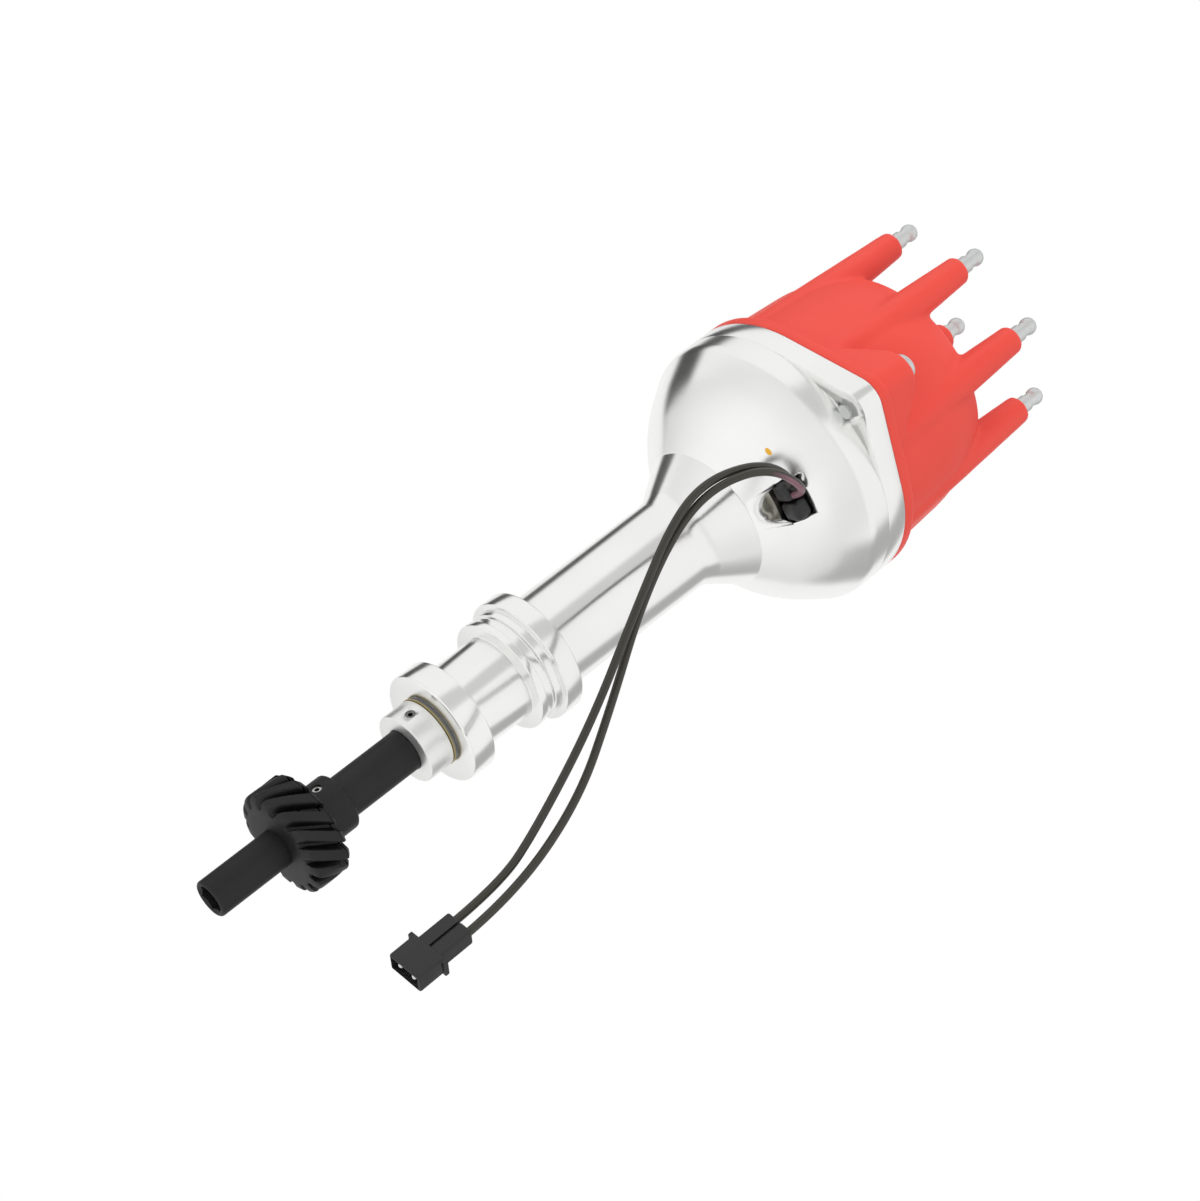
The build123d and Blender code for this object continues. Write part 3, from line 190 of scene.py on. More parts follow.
finishes = {
    # billet aluminium, turned and buffed: bright, with streaks that run round the axis
    "turnedAluminium": turnedMetal("turnedAluminium", "#F7F7F5", "#ECECEA", 0.2, 0.35, 0.3, 0.75),
    # steel shaft and gear with a black oxide finish: dark and satin
    "blackOxideSteel": turnedMetal("blackOxideSteel", "#3E3E3F", "#343435", 0.55, 0.3, 0.2),
    # bright turned steel collar, a little greyer than the aluminium
    "collarSteel": turnedMetal("collarSteel", "#F4F4F2", "#E8E8E6", 0.38, 0.3, 0.3, 0.6),
    # ground steel pins, balls and races: bright
    "groundSteel": turnedMetal("groundSteel", "#B9B9B7", "#A9A9A7", 0.25, 0.2, 0.1),
    # spring steel: mid grey, a little glossy
    "springSteel": turnedMetal("springSteel", "#7C7C7C", "#696969", 0.3, 0.2, 0.1),
    # zinc plated pressings: a warm light grey
    "zincPlate": turnedMetal("zincPlate", "#C2C0B6", "#AFADA4", 0.32, 0.5, 0.1),
    # oil-soaked bronze of the lower bushing, brown and satin
    "bushBronze": turnedMetal("bushBronze", "#B08D57", "#9A7848", 0.35, 0.3, 0.1),
    # brass shim and rotor strips: pale yellow
    "shimBrass": turnedMetal("shimBrass", "#B5A679", "#A39467", 0.4, 0.3, 0.1),
    # nickel plated ball terminals, pins and cap screws: soft light grey
    "nickelPlate": turnedMetal("nickelPlate", "#DDDFDE", "#D2D4D3", 0.5, 0.3, 0.05),
    # polyester cap moulding: satin red with a light orange-peel
    "capPolyester": mouldedPlastic("capPolyester", "#E2483A", "#DC4135", 0.5, 0.5, 0.03, 1.42),
    # rotor moulding: a darker and glossier red than the cap
    "rotorPolyester": mouldedPlastic("rotorPolyester", "#C5362B", "#B82F26", 0.4, 0.5, 0.1, 1.52),
    # black nylon of the plug and the coil
    "plugNylon": mouldedPlastic("plugNylon", "#1D1D1D", "#181818", 0.5, 0.4, 0.1, 1.5),
    # grommet rubber: near black, with a sheen
    "grommetRubber": mouldedPlastic("grommetRubber", "#141414", "#0F0F0F", 0.3, 0.8, 0.15),
    # thin dark red insulation of the leads inside
    "leadVinyl": mouldedPlastic("leadVinyl", "#7A2018", "#651A14", 0.4, 0.5, 0.05),
    # PVC insulation, black with a brown cast from handling
    "wireVinyl": mouldedPlastic("wireVinyl", "#2E2B22", "#242219", 0.36, 0.6, 0.05, 1.53),
    # the second wire shows a mauve tracer near the grommet
    "stripedVinyl": stripedInsulation("stripedVinyl", "#2E2B22", "#7B5560", (0.33, -0.11, -0.94), 0.1,
                                      78.0, 84.0, 0.36),
    # orange-yellow paint mark left by the assembler
    "paintMark": mouldedPlastic("paintMark", "#F0B83C", "#E8AC2E", 0.5, 0.5, 0.05),
    # carbon button: dark grey and dull
    "carbonRod": mouldedPlastic("carbonRod", "#2B2B2B", "#202020", 0.5, 0.3, 0.1),
    # ferrite of the pickup magnet: flat dark grey
    "magnetFerrite": mouldedPlastic("magnetFerrite", "#3A3A3A", "#303030", 0.6, 0.3, 0.1),
}
nodeFinish = {
    "housing": "turnedAluminium", "lower_bushing": "bushBronze", "bearing_outer_race": "groundSteel",
    "bearing_inner_race": "groundSteel", "bearing_balls": "groundSteel", "main_shaft": "blackOxideSteel",
    "shaft_circlip": "springSteel", "drive_gear": "blackOxideSteel", "gear_roll_pin": "groundSteel",
    "thrust_collar": "collarSteel", "collar_roll_pin": "springSteel", "thrust_shim": "shimBrass",
    "thrust_washer": "springSteel", "pickup_plate": "zincPlate", "plate_screws": "zincPlate",
    "pickup_coil": "plugNylon", "pickup_pole": "zincPlate", "pickup_magnet": "magnetFerrite",
    "pickup_leads": "leadVinyl", "advance_sleeve": "zincPlate", "reluctor": "zincPlate",
    "advance_plate": "zincPlate", "weight_pivots": "groundSteel", "weight_clips": "springSteel",
    "spring_posts": "groundSteel", "rotor_standoffs": "groundSteel", "centre_bar": "zincPlate",
    "bar_screw": "zincPlate", "weight_a": "zincPlate", "weight_b": "zincPlate",
    "spring_a": "springSteel", "spring_b": "springSteel", "rotor": "rotorPolyester",
    "rotor_screws": "zincPlate", "rotor_blade": "shimBrass", "rotor_leaf": "shimBrass",
    "cap": "capPolyester", "cap_screws": "nickelPlate", "plug_terminals": "nickelPlate",
    "coil_terminal": "nickelPlate", "carbon_button": "carbonRod", "grommet": "grommetRubber",
    "signal_wire_a": "wireVinyl", "signal_wire_b": "stripedVinyl", "plug_housing": "plugNylon",
    "plug_pins": "nickelPlate",
}
for nodeName, finishName in nodeFinish.items():
    mesh = nodes[nodeName].data
    mesh.materials.clear()
    mesh.materials.append(finishes[finishName])
print("finishes set on", len(nodeFinish), "pieces")

# the two pickup wires, which hang from the outlet and end in the plug
wires = {
    "wireA": {
        "node": "signal_wire_a", "finish": "wireVinyl",
        "points": [
            (0.00529, -0.02681, 0.0921), (0.00990, -0.03949, 0.0921), (-0.0020, -0.0500, 0.0822),
            (-0.0087, -0.0540, 0.0615), (-0.0063, -0.0550, 0.0426), (0.0086, -0.0540, 0.0134),
            (0.0261, -0.0520, -0.0185), (0.0395, -0.0500, -0.0506),
            (0.04516, -0.04849, -0.0688), (0.04516, -0.04849, -0.0888)],
        "length": 0.2137, "end": "plugBody",
    },
    "wireB": {
        "node": "signal_wire_b", "finish": "stripedVinyl",
        "points": [
            (0.00811, -0.02578, 0.0921), (0.01443, -0.04317, 0.0921), (-0.0003, -0.0535, 0.0799),
            (-0.0060, -0.0542, 0.0610), (-0.0035, -0.0525, 0.0430), (0.0080, -0.0505, 0.0185),
            (0.0260, -0.0500, -0.0095), (0.0410, -0.0492, -0.0350),
            (0.04964, -0.05151, -0.0688), (0.04964, -0.05151, -0.0888)],
        "length": 0.2191, "end": "plugPins",
    },
}
wireDiameter = 0.0025


def routeWire(name, facts):
    # a soft wire along its route, drawn as one smooth spline
    curve = bpy.data.curves.new(name, "CURVE")
    curve.dimensions = "3D"
    curve.bevel_depth = wireDiameter / 2
    curve.bevel_resolution = 5
    curve.use_fill_caps = True
    spline = curve.splines.new("NURBS")
    spline.points.add(len(facts["points"]) - 1)
    for point, place in zip(spline.points, facts["points"]):
        point.co = (*place, 1.0)
    spline.order_u = 3
    spline.use_endpoint_u = True
    spline.resolution_u = 16
    wire = bpy.data.objects.new(name, curve)
    bpy.context.scene.collection.objects.link(wire)
    curve.materials.append(finishes[facts["finish"]])
    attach(wire, "housing")
    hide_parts(facts["node"])


for wireName, wireFacts in wires.items():
    routeWire(wireName, wireFacts)
print("wires hung")


def vertsOf(geom):
    # the vertices among what a bmesh operator returns
    return [g for g in geom if isinstance(g, bmesh.types.BMVert)]


def shade(form, sharp=35.0):
    # closes the form, and smooths its faces up to the edges that turn more than the limit
    bmesh.ops.remove_doubles(form, verts=form.verts, dist=0.002 * mm)
    bmesh.ops.recalc_face_normals(form, faces=form.faces)
    limit = math.radians(sharp)
    for edge in form.edges:
        edge.smooth = edge.calc_face_angle(0.0) < limit
    for face in form.faces:
        face.smooth = True


def linkForm(name, form, finish, body, nodeName, sharp=35.0):
    # makes a bmesh an object that rides on a body and stands for a CAD node
    shade(form, sharp)
    mesh = bpy.data.meshes.new(name)
    form.to_mesh(mesh)
    form.free()
    piece = bpy.data.objects.new(name, mesh)
    bpy.context.scene.collection.objects.link(piece)
    mesh.materials.append(finishes[finish])
    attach(piece, body)
    if nodeName:
        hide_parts(nodeName)
    return piece


def outline(form, corners, closed=True):
    # a half section in the XZ plane: corners are (radius, z, rounding) in mm
    verts = [form.verts.new((r * mm, 0.0, z * mm)) for r, z, rounding in corners]
    for first, second in zip(verts, verts[1:]):
        form.edges.new((first, second))
    if closed:
        form.edges.new((verts[-1], verts[0]))
    for vert, (r, z, rounding) in zip(verts, corners):
        if rounding > 0:
            bmesh.ops.bevel(form, geom=[vert], offset=rounding * mm, offset_type="OFFSET",
                            segments=6 if rounding > 2 else 3, profile=0.5,
                            affect="VERTICES", material=-1)


def turn(form, steps):
    # spins all that is in the form a full turn about Z
    bmesh.ops.spin(form, geom=form.verts[:] + form.edges[:], cent=(0, 0, 0), axis=(0, 0, 1),
                   angle=math.tau, steps=steps, use_merge=True)


def applied(piece):
    # gives the piece the mesh that its modifiers make
    bpy.context.view_layer.update()
    graph = bpy.context.evaluated_depsgraph_get()
    mesh = bpy.data.meshes.new_from_object(piece.evaluated_get(graph))
    piece.modifiers.clear()
    piece.data = mesh


def hullLobes(form, radius, lobeRadius, lobeCentre, low, high, steps=48):
    # a round plate drawn out to two lobes: a disc, two small discs and their hull, extruded
    flat = bmesh.new()
    bmesh.ops.create_circle(flat, cap_ends=False, segments=steps * 4, radius=radius * mm)
    for side in (-1, 1):
        bmesh.ops.create_circle(flat, cap_ends=False, segments=steps, radius=lobeRadius * mm,
                                matrix=Matrix.Translation((0, side * lobeCentre * mm, 0)))
    spots = sorted({(round(v.co.x, 7), round(v.co.y, 7)) for v in flat.verts})
    flat.free()
    # the hull in the plane, walked round its lower and upper chains
    chains = []
    for row in (spots, spots[::-1]):
        chain = []
        for spot in row:
            while len(chain) > 1 and (
                    (chain[-1][0] - chain[-2][0]) * (spot[1] - chain[-2][1])
                    - (chain[-1][1] - chain[-2][1]) * (spot[0] - chain[-2][0])) <= 0:
                chain.pop()
            chain.append(spot)
        chains.extend(chain[:-1])
    face = form.faces.new([form.verts.new((x, y, low * mm)) for x, y in chains])
    grown = bmesh.ops.extrude_face_region(form, geom=[face])
    bmesh.ops.translate(form, verts=vertsOf(grown["geom"]), vec=(0, 0, (high - low) * mm))


def cylinder(form, radius, low, high, centre=(0.0, 0.0), segments=48):
    # a closed cylinder between two heights
    bmesh.ops.create_cone(
        form, cap_ends=True, segments=segments, radius1=radius * mm, radius2=radius * mm,
        depth=(high - low) * mm,
        matrix=Matrix.Translation((centre[0] * mm, centre[1] * mm, (low + high) / 2 * mm)))


def mergeInto(form, part):
    # adds one closed bmesh to another, with its faces outward
    bmesh.ops.recalc_face_normals(part, faces=part.faces)
    mesh = bpy.data.meshes.new("part")
    part.to_mesh(mesh)
    part.free()
    form.from_mesh(mesh)
    bpy.data.meshes.remove(mesh)


def combine(piece, part, operation="DIFFERENCE"):
    # cuts a closed bmesh out of a piece, or joins it on
    bmesh.ops.recalc_face_normals(part, faces=part.faces)
    mesh = bpy.data.meshes.new("part")
    part.to_mesh(mesh)
    part.free()
    tool = bpy.data.objects.new("part", mesh)
    bpy.context.scene.collection.objects.link(tool)
    change = piece.modifiers.new("change", "BOOLEAN")
    change.operation = operation
    change.solver = "EXACT"
    change.object = tool
    applied(piece)
    bpy.data.objects.remove(tool)


def drill(piece, z, angle, radius, reach):
    # a cross hole through the axis
    bore = bmesh.new()
    cylinder(bore, radius, -reach, reach, segments=32)
    turned = Matrix.Rotation(math.radians(angle), 4, "Z") @ Matrix.Rotation(math.pi / 2, 4, "Y")
    bmesh.ops.transform(bore, matrix=Matrix.Translation((0, 0, z * mm)) @ turned, verts=bore.verts)
    combine(piece, bore)


def sideFrame(angle):
    # across, up and out at an angle round the axis, as a matrix
    turned = math.radians(angle)
    out = Vector((math.cos(turned), math.sin(turned), 0))
    across = Vector((-math.sin(turned), math.cos(turned), 0))
    return Matrix((across, Vector((0, 0, 1)), out)).transposed().to_4x4()


def ringPlaces(radius, angles):
    # places on a circle, in mm
    return [(radius * math.cos(math.radians(a)), radius * math.sin(math.radians(a))) for a in angles]


def setOut(form, places):
    # moves what is in the form to the first place, and a copy to each other one
    first = form.verts[:] + form.edges[:] + form.faces[:]
    for x, y in places[1:]:
        copy = bmesh.ops.duplicate(form, geom=first)
        bmesh.ops.translate(form, verts=vertsOf(copy["geom"]), vec=(x * mm, y * mm, 0))
    x, y = places[0]
    bmesh.ops.translate(form, verts=vertsOf(first), vec=(x * mm, y * mm, 0))


# radians: an edge that turns more than this is a hard corner
sharpEdge = 1.2

# housing: turned from one billet, with the clamp lobes left on the rim
housing = {
    "section": [
        (9.0, -36.2, 0.3), (18.6, -36.2, 0.7), (18.6, -27.7, 0.5), (14.27, -27.7, 0.4),
        (14.27, -8.4, 0.4), (18.6, -8.4, 0.45), (18.6, -5.9, 0.3), (17.4, -5.6, 0.3),
        (17.4, -2.9, 0.3), (18.6, -2.6, 0.3), (18.6, 0.0, 0.2), (20.7, 0.0, 0.45),
        (20.7, 6.7, 0.6), (15.57, 6.7, 0.5), (15.57, 68.1, 3.0), (24.1, 81.6, 0.0),
        (23.9, 81.75, 0.0), (24.1, 81.9, 0.0), (38.5, 94.3, 7.0), (46.99, 108.4, 1.5),
        (46.99, 115.5, 0.0), (42.4, 115.5, 0.0), (42.4, 109.4, 1.0), (34.8, 96.0, 1.0),
        (28.5, 89.0, 0.3), (24.8, 89.0, 0.3), (24.8, 86.4, 0.3), (15.0, 86.4, 0.3),
        (15.0, 77.4, 0.3), (9.0, 77.4, 0.3)],
    "steps": 256,
    "lobeCentre": 49.3, "lobeRadius": 8.2, "lobeLow": 115.5, "rimRadius": 47.05, "rimTop": 123.2,
    "rimRound": 0.4, "cavity": 42.4, "cavityReach": 20.0, "screwHole": 2.4, "screwReach": 30.0,
    "outletAngle": 290.0, "outletWidth": 14.0, "outletTop": 95.6, "outletArc": 89.16,
    "outletFloor": 22.0, "outletReach": 30.0, "scoopNear": (25.0, 4.0), "scoopFar": (42.0, 9.6),
}


def buildHousing(facts):
    form = bmesh.new()
    outline(form, facts["section"])
    turn(form, facts["steps"])
    body = linkForm("housingBody", form, "turnedAluminium", "housing", None)
    rim = bmesh.new()
    hullLobes(rim, facts["rimRadius"], facts["lobeRadius"], facts["lobeCentre"],
              facts["lobeLow"], facts["rimTop"])
    bmesh.ops.bevel(rim, geom=[e for e in rim.edges if e.calc_face_angle(0.0) > sharpEdge],
                    offset=facts["rimRound"] * mm, segments=2, profile=0.5, affect="EDGES",
                    material=-1)
    rimPiece = linkForm("housingRim", rim, "turnedAluminium", "housing", None)
    bore = bmesh.new()
    cylinder(bore, facts["cavity"], facts["rimTop"] - facts["cavityReach"],
             facts["rimTop"] + facts["cavityReach"], segments=facts["steps"])
    shade(bore)
    combine(rimPiece, bore)
    screws = bmesh.new()
    for side in (-1, 1):
        cylinder(screws, facts["screwHole"], facts["rimTop"] - facts["screwReach"],
                 facts["rimTop"] + facts["screwReach"], (0, side * facts["lobeCentre"]), 32)
    shade(screws)
    combine(rimPiece, screws)
    # the outlet is milled in from the side: a flat top, and a round scooped lower end
    outlet = bmesh.new()
    half = facts["outletWidth"] / 2
    rise = facts["outletTop"] - facts["outletArc"]
    corners = ((-half, rise), (-half, 0), (half, 0), (half, rise))
    face = outlet.faces.new([outlet.verts.new((x * mm, y * mm, 0)) for x, y in corners])
    grown = bmesh.ops.extrude_face_region(outlet, geom=[face])
    bmesh.ops.translate(outlet, verts=vertsOf(grown["geom"]), vec=(0, 0, facts["outletReach"] * mm))
    stand = sideFrame(facts["outletAngle"])
    out = stand.col[2].to_3d()
    stand.translation = (out * facts["outletFloor"] + Vector((0, 0, facts["outletArc"]))) * mm
    bmesh.ops.transform(outlet, matrix=stand, verts=outlet.verts)
    shade(outlet)
    combine(body, outlet)
    scoop = bmesh.new()
    near, nearRadius = facts["scoopNear"]
    far, farRadius = facts["scoopFar"]
    bmesh.ops.create_cone(scoop, cap_ends=True, segments=72, radius1=nearRadius * mm,
                          radius2=farRadius * mm, depth=(far - near) * mm)
    bmesh.ops.translate(scoop, verts=scoop.verts, vec=(0, 0, (near + far) / 2 * mm))
    # the lower half alone, and a hair more so that it meets the window
    bmesh.ops.bisect_plane(scoop, geom=scoop.verts[:] + scoop.edges[:] + scoop.faces[:],
                           plane_co=(0, 0.05 * mm, 0), plane_no=(0, 1, 0), clear_outer=True)
    bmesh.ops.holes_fill(scoop, edges=[edge for edge in scoop.edges if edge.is_boundary])
    stand.translation = Vector((0, 0, facts["outletArc"])) * mm
    bmesh.ops.transform(scoop, matrix=stand, verts=scoop.verts)
    shade(scoop)
    combine(body, scoop)
    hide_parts("housing")


buildHousing(housing)
print("housing turned")


# main shaft: black oxide, with the oil pump socket in its end
shaft = {
    "section": [
        (0.0, -121.4, 0.0), (6.02, -121.4, 0.8), (6.02, -93.8, 0.0), (6.745, -93.8, 0.0),
        (6.745, 88.2, 0.2), (5.4, 88.2, 0.0), (5.4, 105.8, 0.0), (4.2, 105.8, 0.0),
        (4.2, 109.8, 0.0), (0.0, 109.8, 0.0)],
    "steps": 96, "end": -121.4, "socketFlats": 7.94, "socketEnd": -107.4,
    "leadRadius": 5.3, "leadInner": 3.6, "leadDepth": 1.2, "leadMiddle": -121.0,
}
form = bmesh.new()
outline(form, shaft["section"], closed=False)
turn(form, shaft["steps"])
mainShaft = linkForm("mainShaft", form, "blackOxideSteel", "shaft", "main_shaft")
socket = bmesh.new()
corner = shaft["socketFlats"] / 2 / math.cos(math.pi / 6)
bmesh.ops.create_cone(
    socket, cap_ends=True, segments=6, radius1=corner * mm, radius2=corner * mm,
    depth=2 * (shaft["socketEnd"] - shaft["end"]) * mm,
    matrix=Matrix.Translation((0, 0, shaft["end"] * mm)) @ Matrix.Rotation(math.pi / 6, 4, "Z"))
combine(mainShaft, socket)
lead = bmesh.new()
bmesh.ops.create_cone(lead, cap_ends=True, segments=64, radius1=shaft["leadRadius"] * mm,
                      radius2=shaft["leadInner"] * mm, depth=shaft["leadDepth"] * mm,
                      matrix=Matrix.Translation((0, 0, shaft["leadMiddle"] * mm)))
combine(mainShaft, lead)
print("shaft turned")

# drive gear: fifteen right-hand helical teeth, run out at the ends, with a hub behind
gear = {
    "teeth": 15, "perTooth": 24, "root": 13.3, "tip": 16.95, "front": -95.9, "rear": -82.8,
    "frontRun": 2.2, "rearRun": 1.1, "degPerMm": 2.59, "crestAngle": -6.0, "crestZ": -91.4,
    "landShare": 0.50, "flankShare": 0.32, "crown": 0.05, "rearDrop": 0.3, "levels": 14,
    "frontLevels": 5, "rearLevel": 0.5,
    "face": [(6.02, -95.1, 0.0), (8.2, -95.7, 0.0), (12.6, -96.0, 0.0), (13.5, -95.7, 0.3),
             (13.5, -94.6, 0.0), (6.02, -94.6, 0.0)],
    "hub": [(0.0, -84.0, 0.0), (9.2, -84.0, 0.0), (9.2, -72.6, 0.9), (0.0, -72.6, 0.0)],
    "pinZ": -78.2, "pinAngle": 223.0, "pinRadius": 1.62, "pinReach": 9.6,
}


def toothRadius(facts, share, z):
    # radius at a share of one tooth pitch, counted from the crest, at a height
    away = abs((share + 0.5) % 1.0 - 0.5) * 2
    slope = min(max((away - facts["landShare"]) / facts["flankShare"], 0.0), 1.0)
    lift = 1 - slope * slope * (3 - 2 * slope)
    crown = 1 - facts["crown"] * away * away
    front = min((z - facts["front"]) / facts["frontRun"], 1.0)
    rear = min((facts["rear"] - z) / facts["rearRun"], 1.0)
    top = min(math.sqrt(1 - (1 - front) ** 2), 1 - facts["rearDrop"] * (1 - rear))
    return facts["root"] + (facts["tip"] - facts["root"]) * lift * crown * top


def buildGear(facts):
    form = bmesh.new()
    count = facts["teeth"] * facts["perTooth"]
    bmesh.ops.create_circle(form, cap_ends=True, segments=count, radius=facts["tip"] * mm)
    face = form.faces[:][0]
    low, high = facts["front"], facts["rear"]
    pitch = 360 / count
    middle = high - low - facts["frontRun"] - facts["rearRun"]
    heights = [low + facts["frontRun"] * k / facts["frontLevels"]
               for k in range(facts["frontLevels"] + 1)]
    heights += [low + facts["frontRun"] + middle * k / facts["levels"]
                for k in range(1, facts["levels"] + 1)]
    heights += [high - facts["rearLevel"], high]
    bmesh.ops.translate(form, verts=form.verts, vec=(0, 0, low * mm))
    ring = list(face.verts)
    for step, z in enumerate(heights):
        if step:
            grown = bmesh.ops.extrude_face_region(form, geom=[face])
            face = [g for g in grown["geom"] if isinstance(g, bmesh.types.BMFace)][0]
            ring = list(face.verts)
        twist = facts["crestAngle"] + (z - facts["crestZ"]) * facts["degPerMm"]
        for vert in ring:
            angle = math.degrees(math.atan2(vert.co.y, vert.co.x))
            if not step:
                angle = round(angle / pitch) * pitch
            else:
                angle = angle + (z - heights[step - 1]) * facts["degPerMm"]
            share = (angle - twist) / (360 / facts["teeth"])
            radius = toothRadius(facts, share, z) * mm
            turned = math.radians(angle)
            vert.co = (radius * math.cos(turned), radius * math.sin(turned), z * mm)
    linkForm("gearTeeth", form, "blackOxideSteel", "shaft", "drive_gear", 38)
    faceForm = bmesh.new()
    outline(faceForm, facts["face"])
    turn(faceForm, 128)
    linkForm("gearFace", faceForm, "blackOxideSteel", "shaft", None, 50)
    hubForm = bmesh.new()
    outline(hubForm, facts["hub"], closed=False)
    turn(hubForm, 96)
    hub = linkForm("gearHub", hubForm, "blackOxideSteel", "shaft", None)
    drill(hub, facts["pinZ"], facts["pinAngle"], facts["pinRadius"], facts["pinReach"])


buildGear(gear)
print("gear cut")

# thrust collar: bright turned steel with the pin hole across it
collar = {
    "section": [(6.745, -46.7, 0.35), (11.5, -46.7, 0.6), (11.5, -37.7, 0.5), (6.745, -37.7, 0.2)],
    "pinZ": -42.2, "pinAngle": 230.0, "pinRadius": 1.62, "pinReach": 12.2,
}
form = bmesh.new()
outline(form, collar["section"])
turn(form, 128)
collarPiece = linkForm("thrustCollar", form, "collarSteel", "shaft", "thrust_collar")
drill(collarPiece, collar["pinZ"], collar["pinAngle"], collar["pinRadius"], collar["pinReach"])
print("collar turned")

# cap: one polyester moulding, whose posts and lobes flow into the wall
cap = {
    "drum": [
        (0.0, 123.22, 0.0), (44.1, 123.22, 0.0), (44.1, 127.7, 0.0), (42.1, 160.0, 9.0),
        (36.0, 172.6, 1.5), (7.5, 174.2, 0.0), (0.0, 174.2, 0.0)],
    "cavity": [
        (0.0, 120.0, 0.0), (40.0, 120.0, 0.0), (40.0, 156.0, 3.0), (34.0, 167.6, 3.0),
        (0.0, 167.6, 0.0)],
    "rimRadius": 47.05, "rimLow": 123.2, "rimHigh": 127.7, "rimRound": 1.3, "seamRound": 0.3,
    "lobeRadius": 8.2, "lobeCentre": 49.3, "lobeTop": 141.1,
    "lobeInset": 0.8, "rampSpread": 34.0, "rampRadius": 45.6, "rampSteps": 12, "ringSteps": 40,
    "bossRadius": 7.3, "bossCentre": 47.9, "bossRoot": 36.0,
    "postCircle": 36.74, "posts": 8, "postRoot": 8.2, "postTip": 4.76, "postRootZ": 127.5,
    "postTipZ": 193.4, "plugBallZ": 201.4,
    "coilRoot": 6.9, "coilTip": 4.76, "coilRootZ": 170.0, "coilTipZ": 198.0, "coilBallZ": 204.1,
    "tipRound": 0.4, "grain": 0.72, "melt": 9,
}
plugPlaces = ringPlaces(cap["postCircle"], [360 / cap["posts"] * (k + 0.5) + 90
                                            for k in range(cap["posts"])])


def addCone(form, place, rootRadius, tipRadius, low, high, tipRound):
    # a tapered post with a rounded tip
    post = bmesh.new()
    outline(post, [(0.0, low, 0.0), (rootRadius, low, 0.0), (tipRadius, high, tipRound),
                   (0.0, high, 0.0)], closed=False)
    turn(post, 64)
    bmesh.ops.translate(post, verts=post.verts, vec=(place[0] * mm, place[1] * mm, 0))
    mergeInto(form, post)


def rampLobe(form, facts, side):
    # a screw lobe that ramps up from the rim's flats to its round top
    lobe = bmesh.new()
    for k in range(-facts["rampSteps"], facts["rampSteps"] + 1):
        turned = math.radians(facts["rampSpread"] * k / facts["rampSteps"])
        lobe.verts.new((facts["rampRadius"] * math.sin(turned) * mm,
                        side * facts["rampRadius"] * math.cos(turned) * mm, facts["rimLow"] * mm))
    inner = facts["lobeRadius"] - facts["lobeInset"]
    for radius, centre, z in ((inner, facts["lobeCentre"], facts["rimLow"]),
                              (inner, facts["lobeCentre"], facts["rimHigh"]),
                              (facts["bossRadius"], facts["bossCentre"], facts["lobeTop"])):
        for k in range(facts["ringSteps"]):
            turned = math.tau * k / facts["ringSteps"]
            lobe.verts.new((radius * math.cos(turned) * mm,
                            side * (centre + radius * math.sin(turned)) * mm, z * mm))
    lobe.verts.new((0, side * facts["bossRoot"] * mm, facts["lobeTop"] * mm))
    lobe.verts.new((0, side * facts["bossRoot"] * mm, facts["rimLow"] * mm))
    hull = bmesh.ops.convex_hull(lobe, input=lobe.verts)
    bmesh.ops.delete(lobe, geom=vertsOf(hull["geom_interior"]), context="VERTS")
    mergeInto(form, lobe)


def buildCap(facts):
    form = bmesh.new()
    outline(form, facts["drum"], closed=False)
    turn(form, 192)
    for spot in plugPlaces:
        addCone(form, spot, facts["postRoot"], facts["postTip"], facts["postRootZ"],
                facts["postTipZ"], facts["tipRound"])
    addCone(form, (0, 0), facts["coilRoot"], facts["coilTip"], facts["coilRootZ"],
            facts["coilTipZ"], facts["tipRound"])
    for side in (-1, 1):
        rampLobe(form, facts, side)
    body = linkForm("capBody", form, "capPolyester", "housing", None, 60)
    melt = body.modifiers.new("melt", "REMESH")
    melt.mode = "VOXEL"
    melt.voxel_size = facts["grain"] * mm
    soften = body.modifiers.new("soften", "SMOOTH")
    soften.factor = 0.5
    soften.iterations = facts["melt"]
    applied(body)
    cavity = bmesh.new()
    outline(cavity, facts["cavity"], closed=False)
    turn(cavity, 160)
    combine(body, cavity)
    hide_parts("cap", "cap_posts")
    for face in body.data.polygons:
        face.use_smooth = True
    rim = bmesh.new()
    hullLobes(rim, facts["rimRadius"], facts["lobeRadius"], facts["lobeCentre"],
              facts["rimLow"], facts["rimHigh"])
    bmesh.ops.recalc_face_normals(rim, faces=rim.faces)
    for level, rounding, steps in ((facts["rimHigh"], facts["rimRound"], 4),
                                   (facts["rimLow"], facts["seamRound"], 2)):
        edges = [e for e in rim.edges if e.calc_face_angle(0.0) > sharpEdge
                 and all(abs(v.co.z - level * mm) < 0.05 * mm for v in e.verts)]
        bmesh.ops.bevel(rim, geom=edges, offset=rounding * mm, segments=steps, profile=0.5,
                        affect="EDGES", material=-1)
    rimPiece = linkForm("capRim", rim, "capPolyester", "housing", None, 50)
    bore = bmesh.new()
    cylinder(bore, facts["cavity"][1][0], facts["rimLow"] - 1, facts["rimHigh"] + 1, segments=160)
    combine(rimPiece, bore)


buildCap(cap)
print("cap moulded")

# terminals: nickel plated bars with a collar, a neck and a ball
terminal = {
    "bar": 2.4, "barLength": 20.0, "seatDepth": 0.5, "collar": 2.85, "collarTop": -3.9,
    "neck": 2.35, "ballRadius": 2.95, "crown": 2.2, "ballSteps": 14,
}


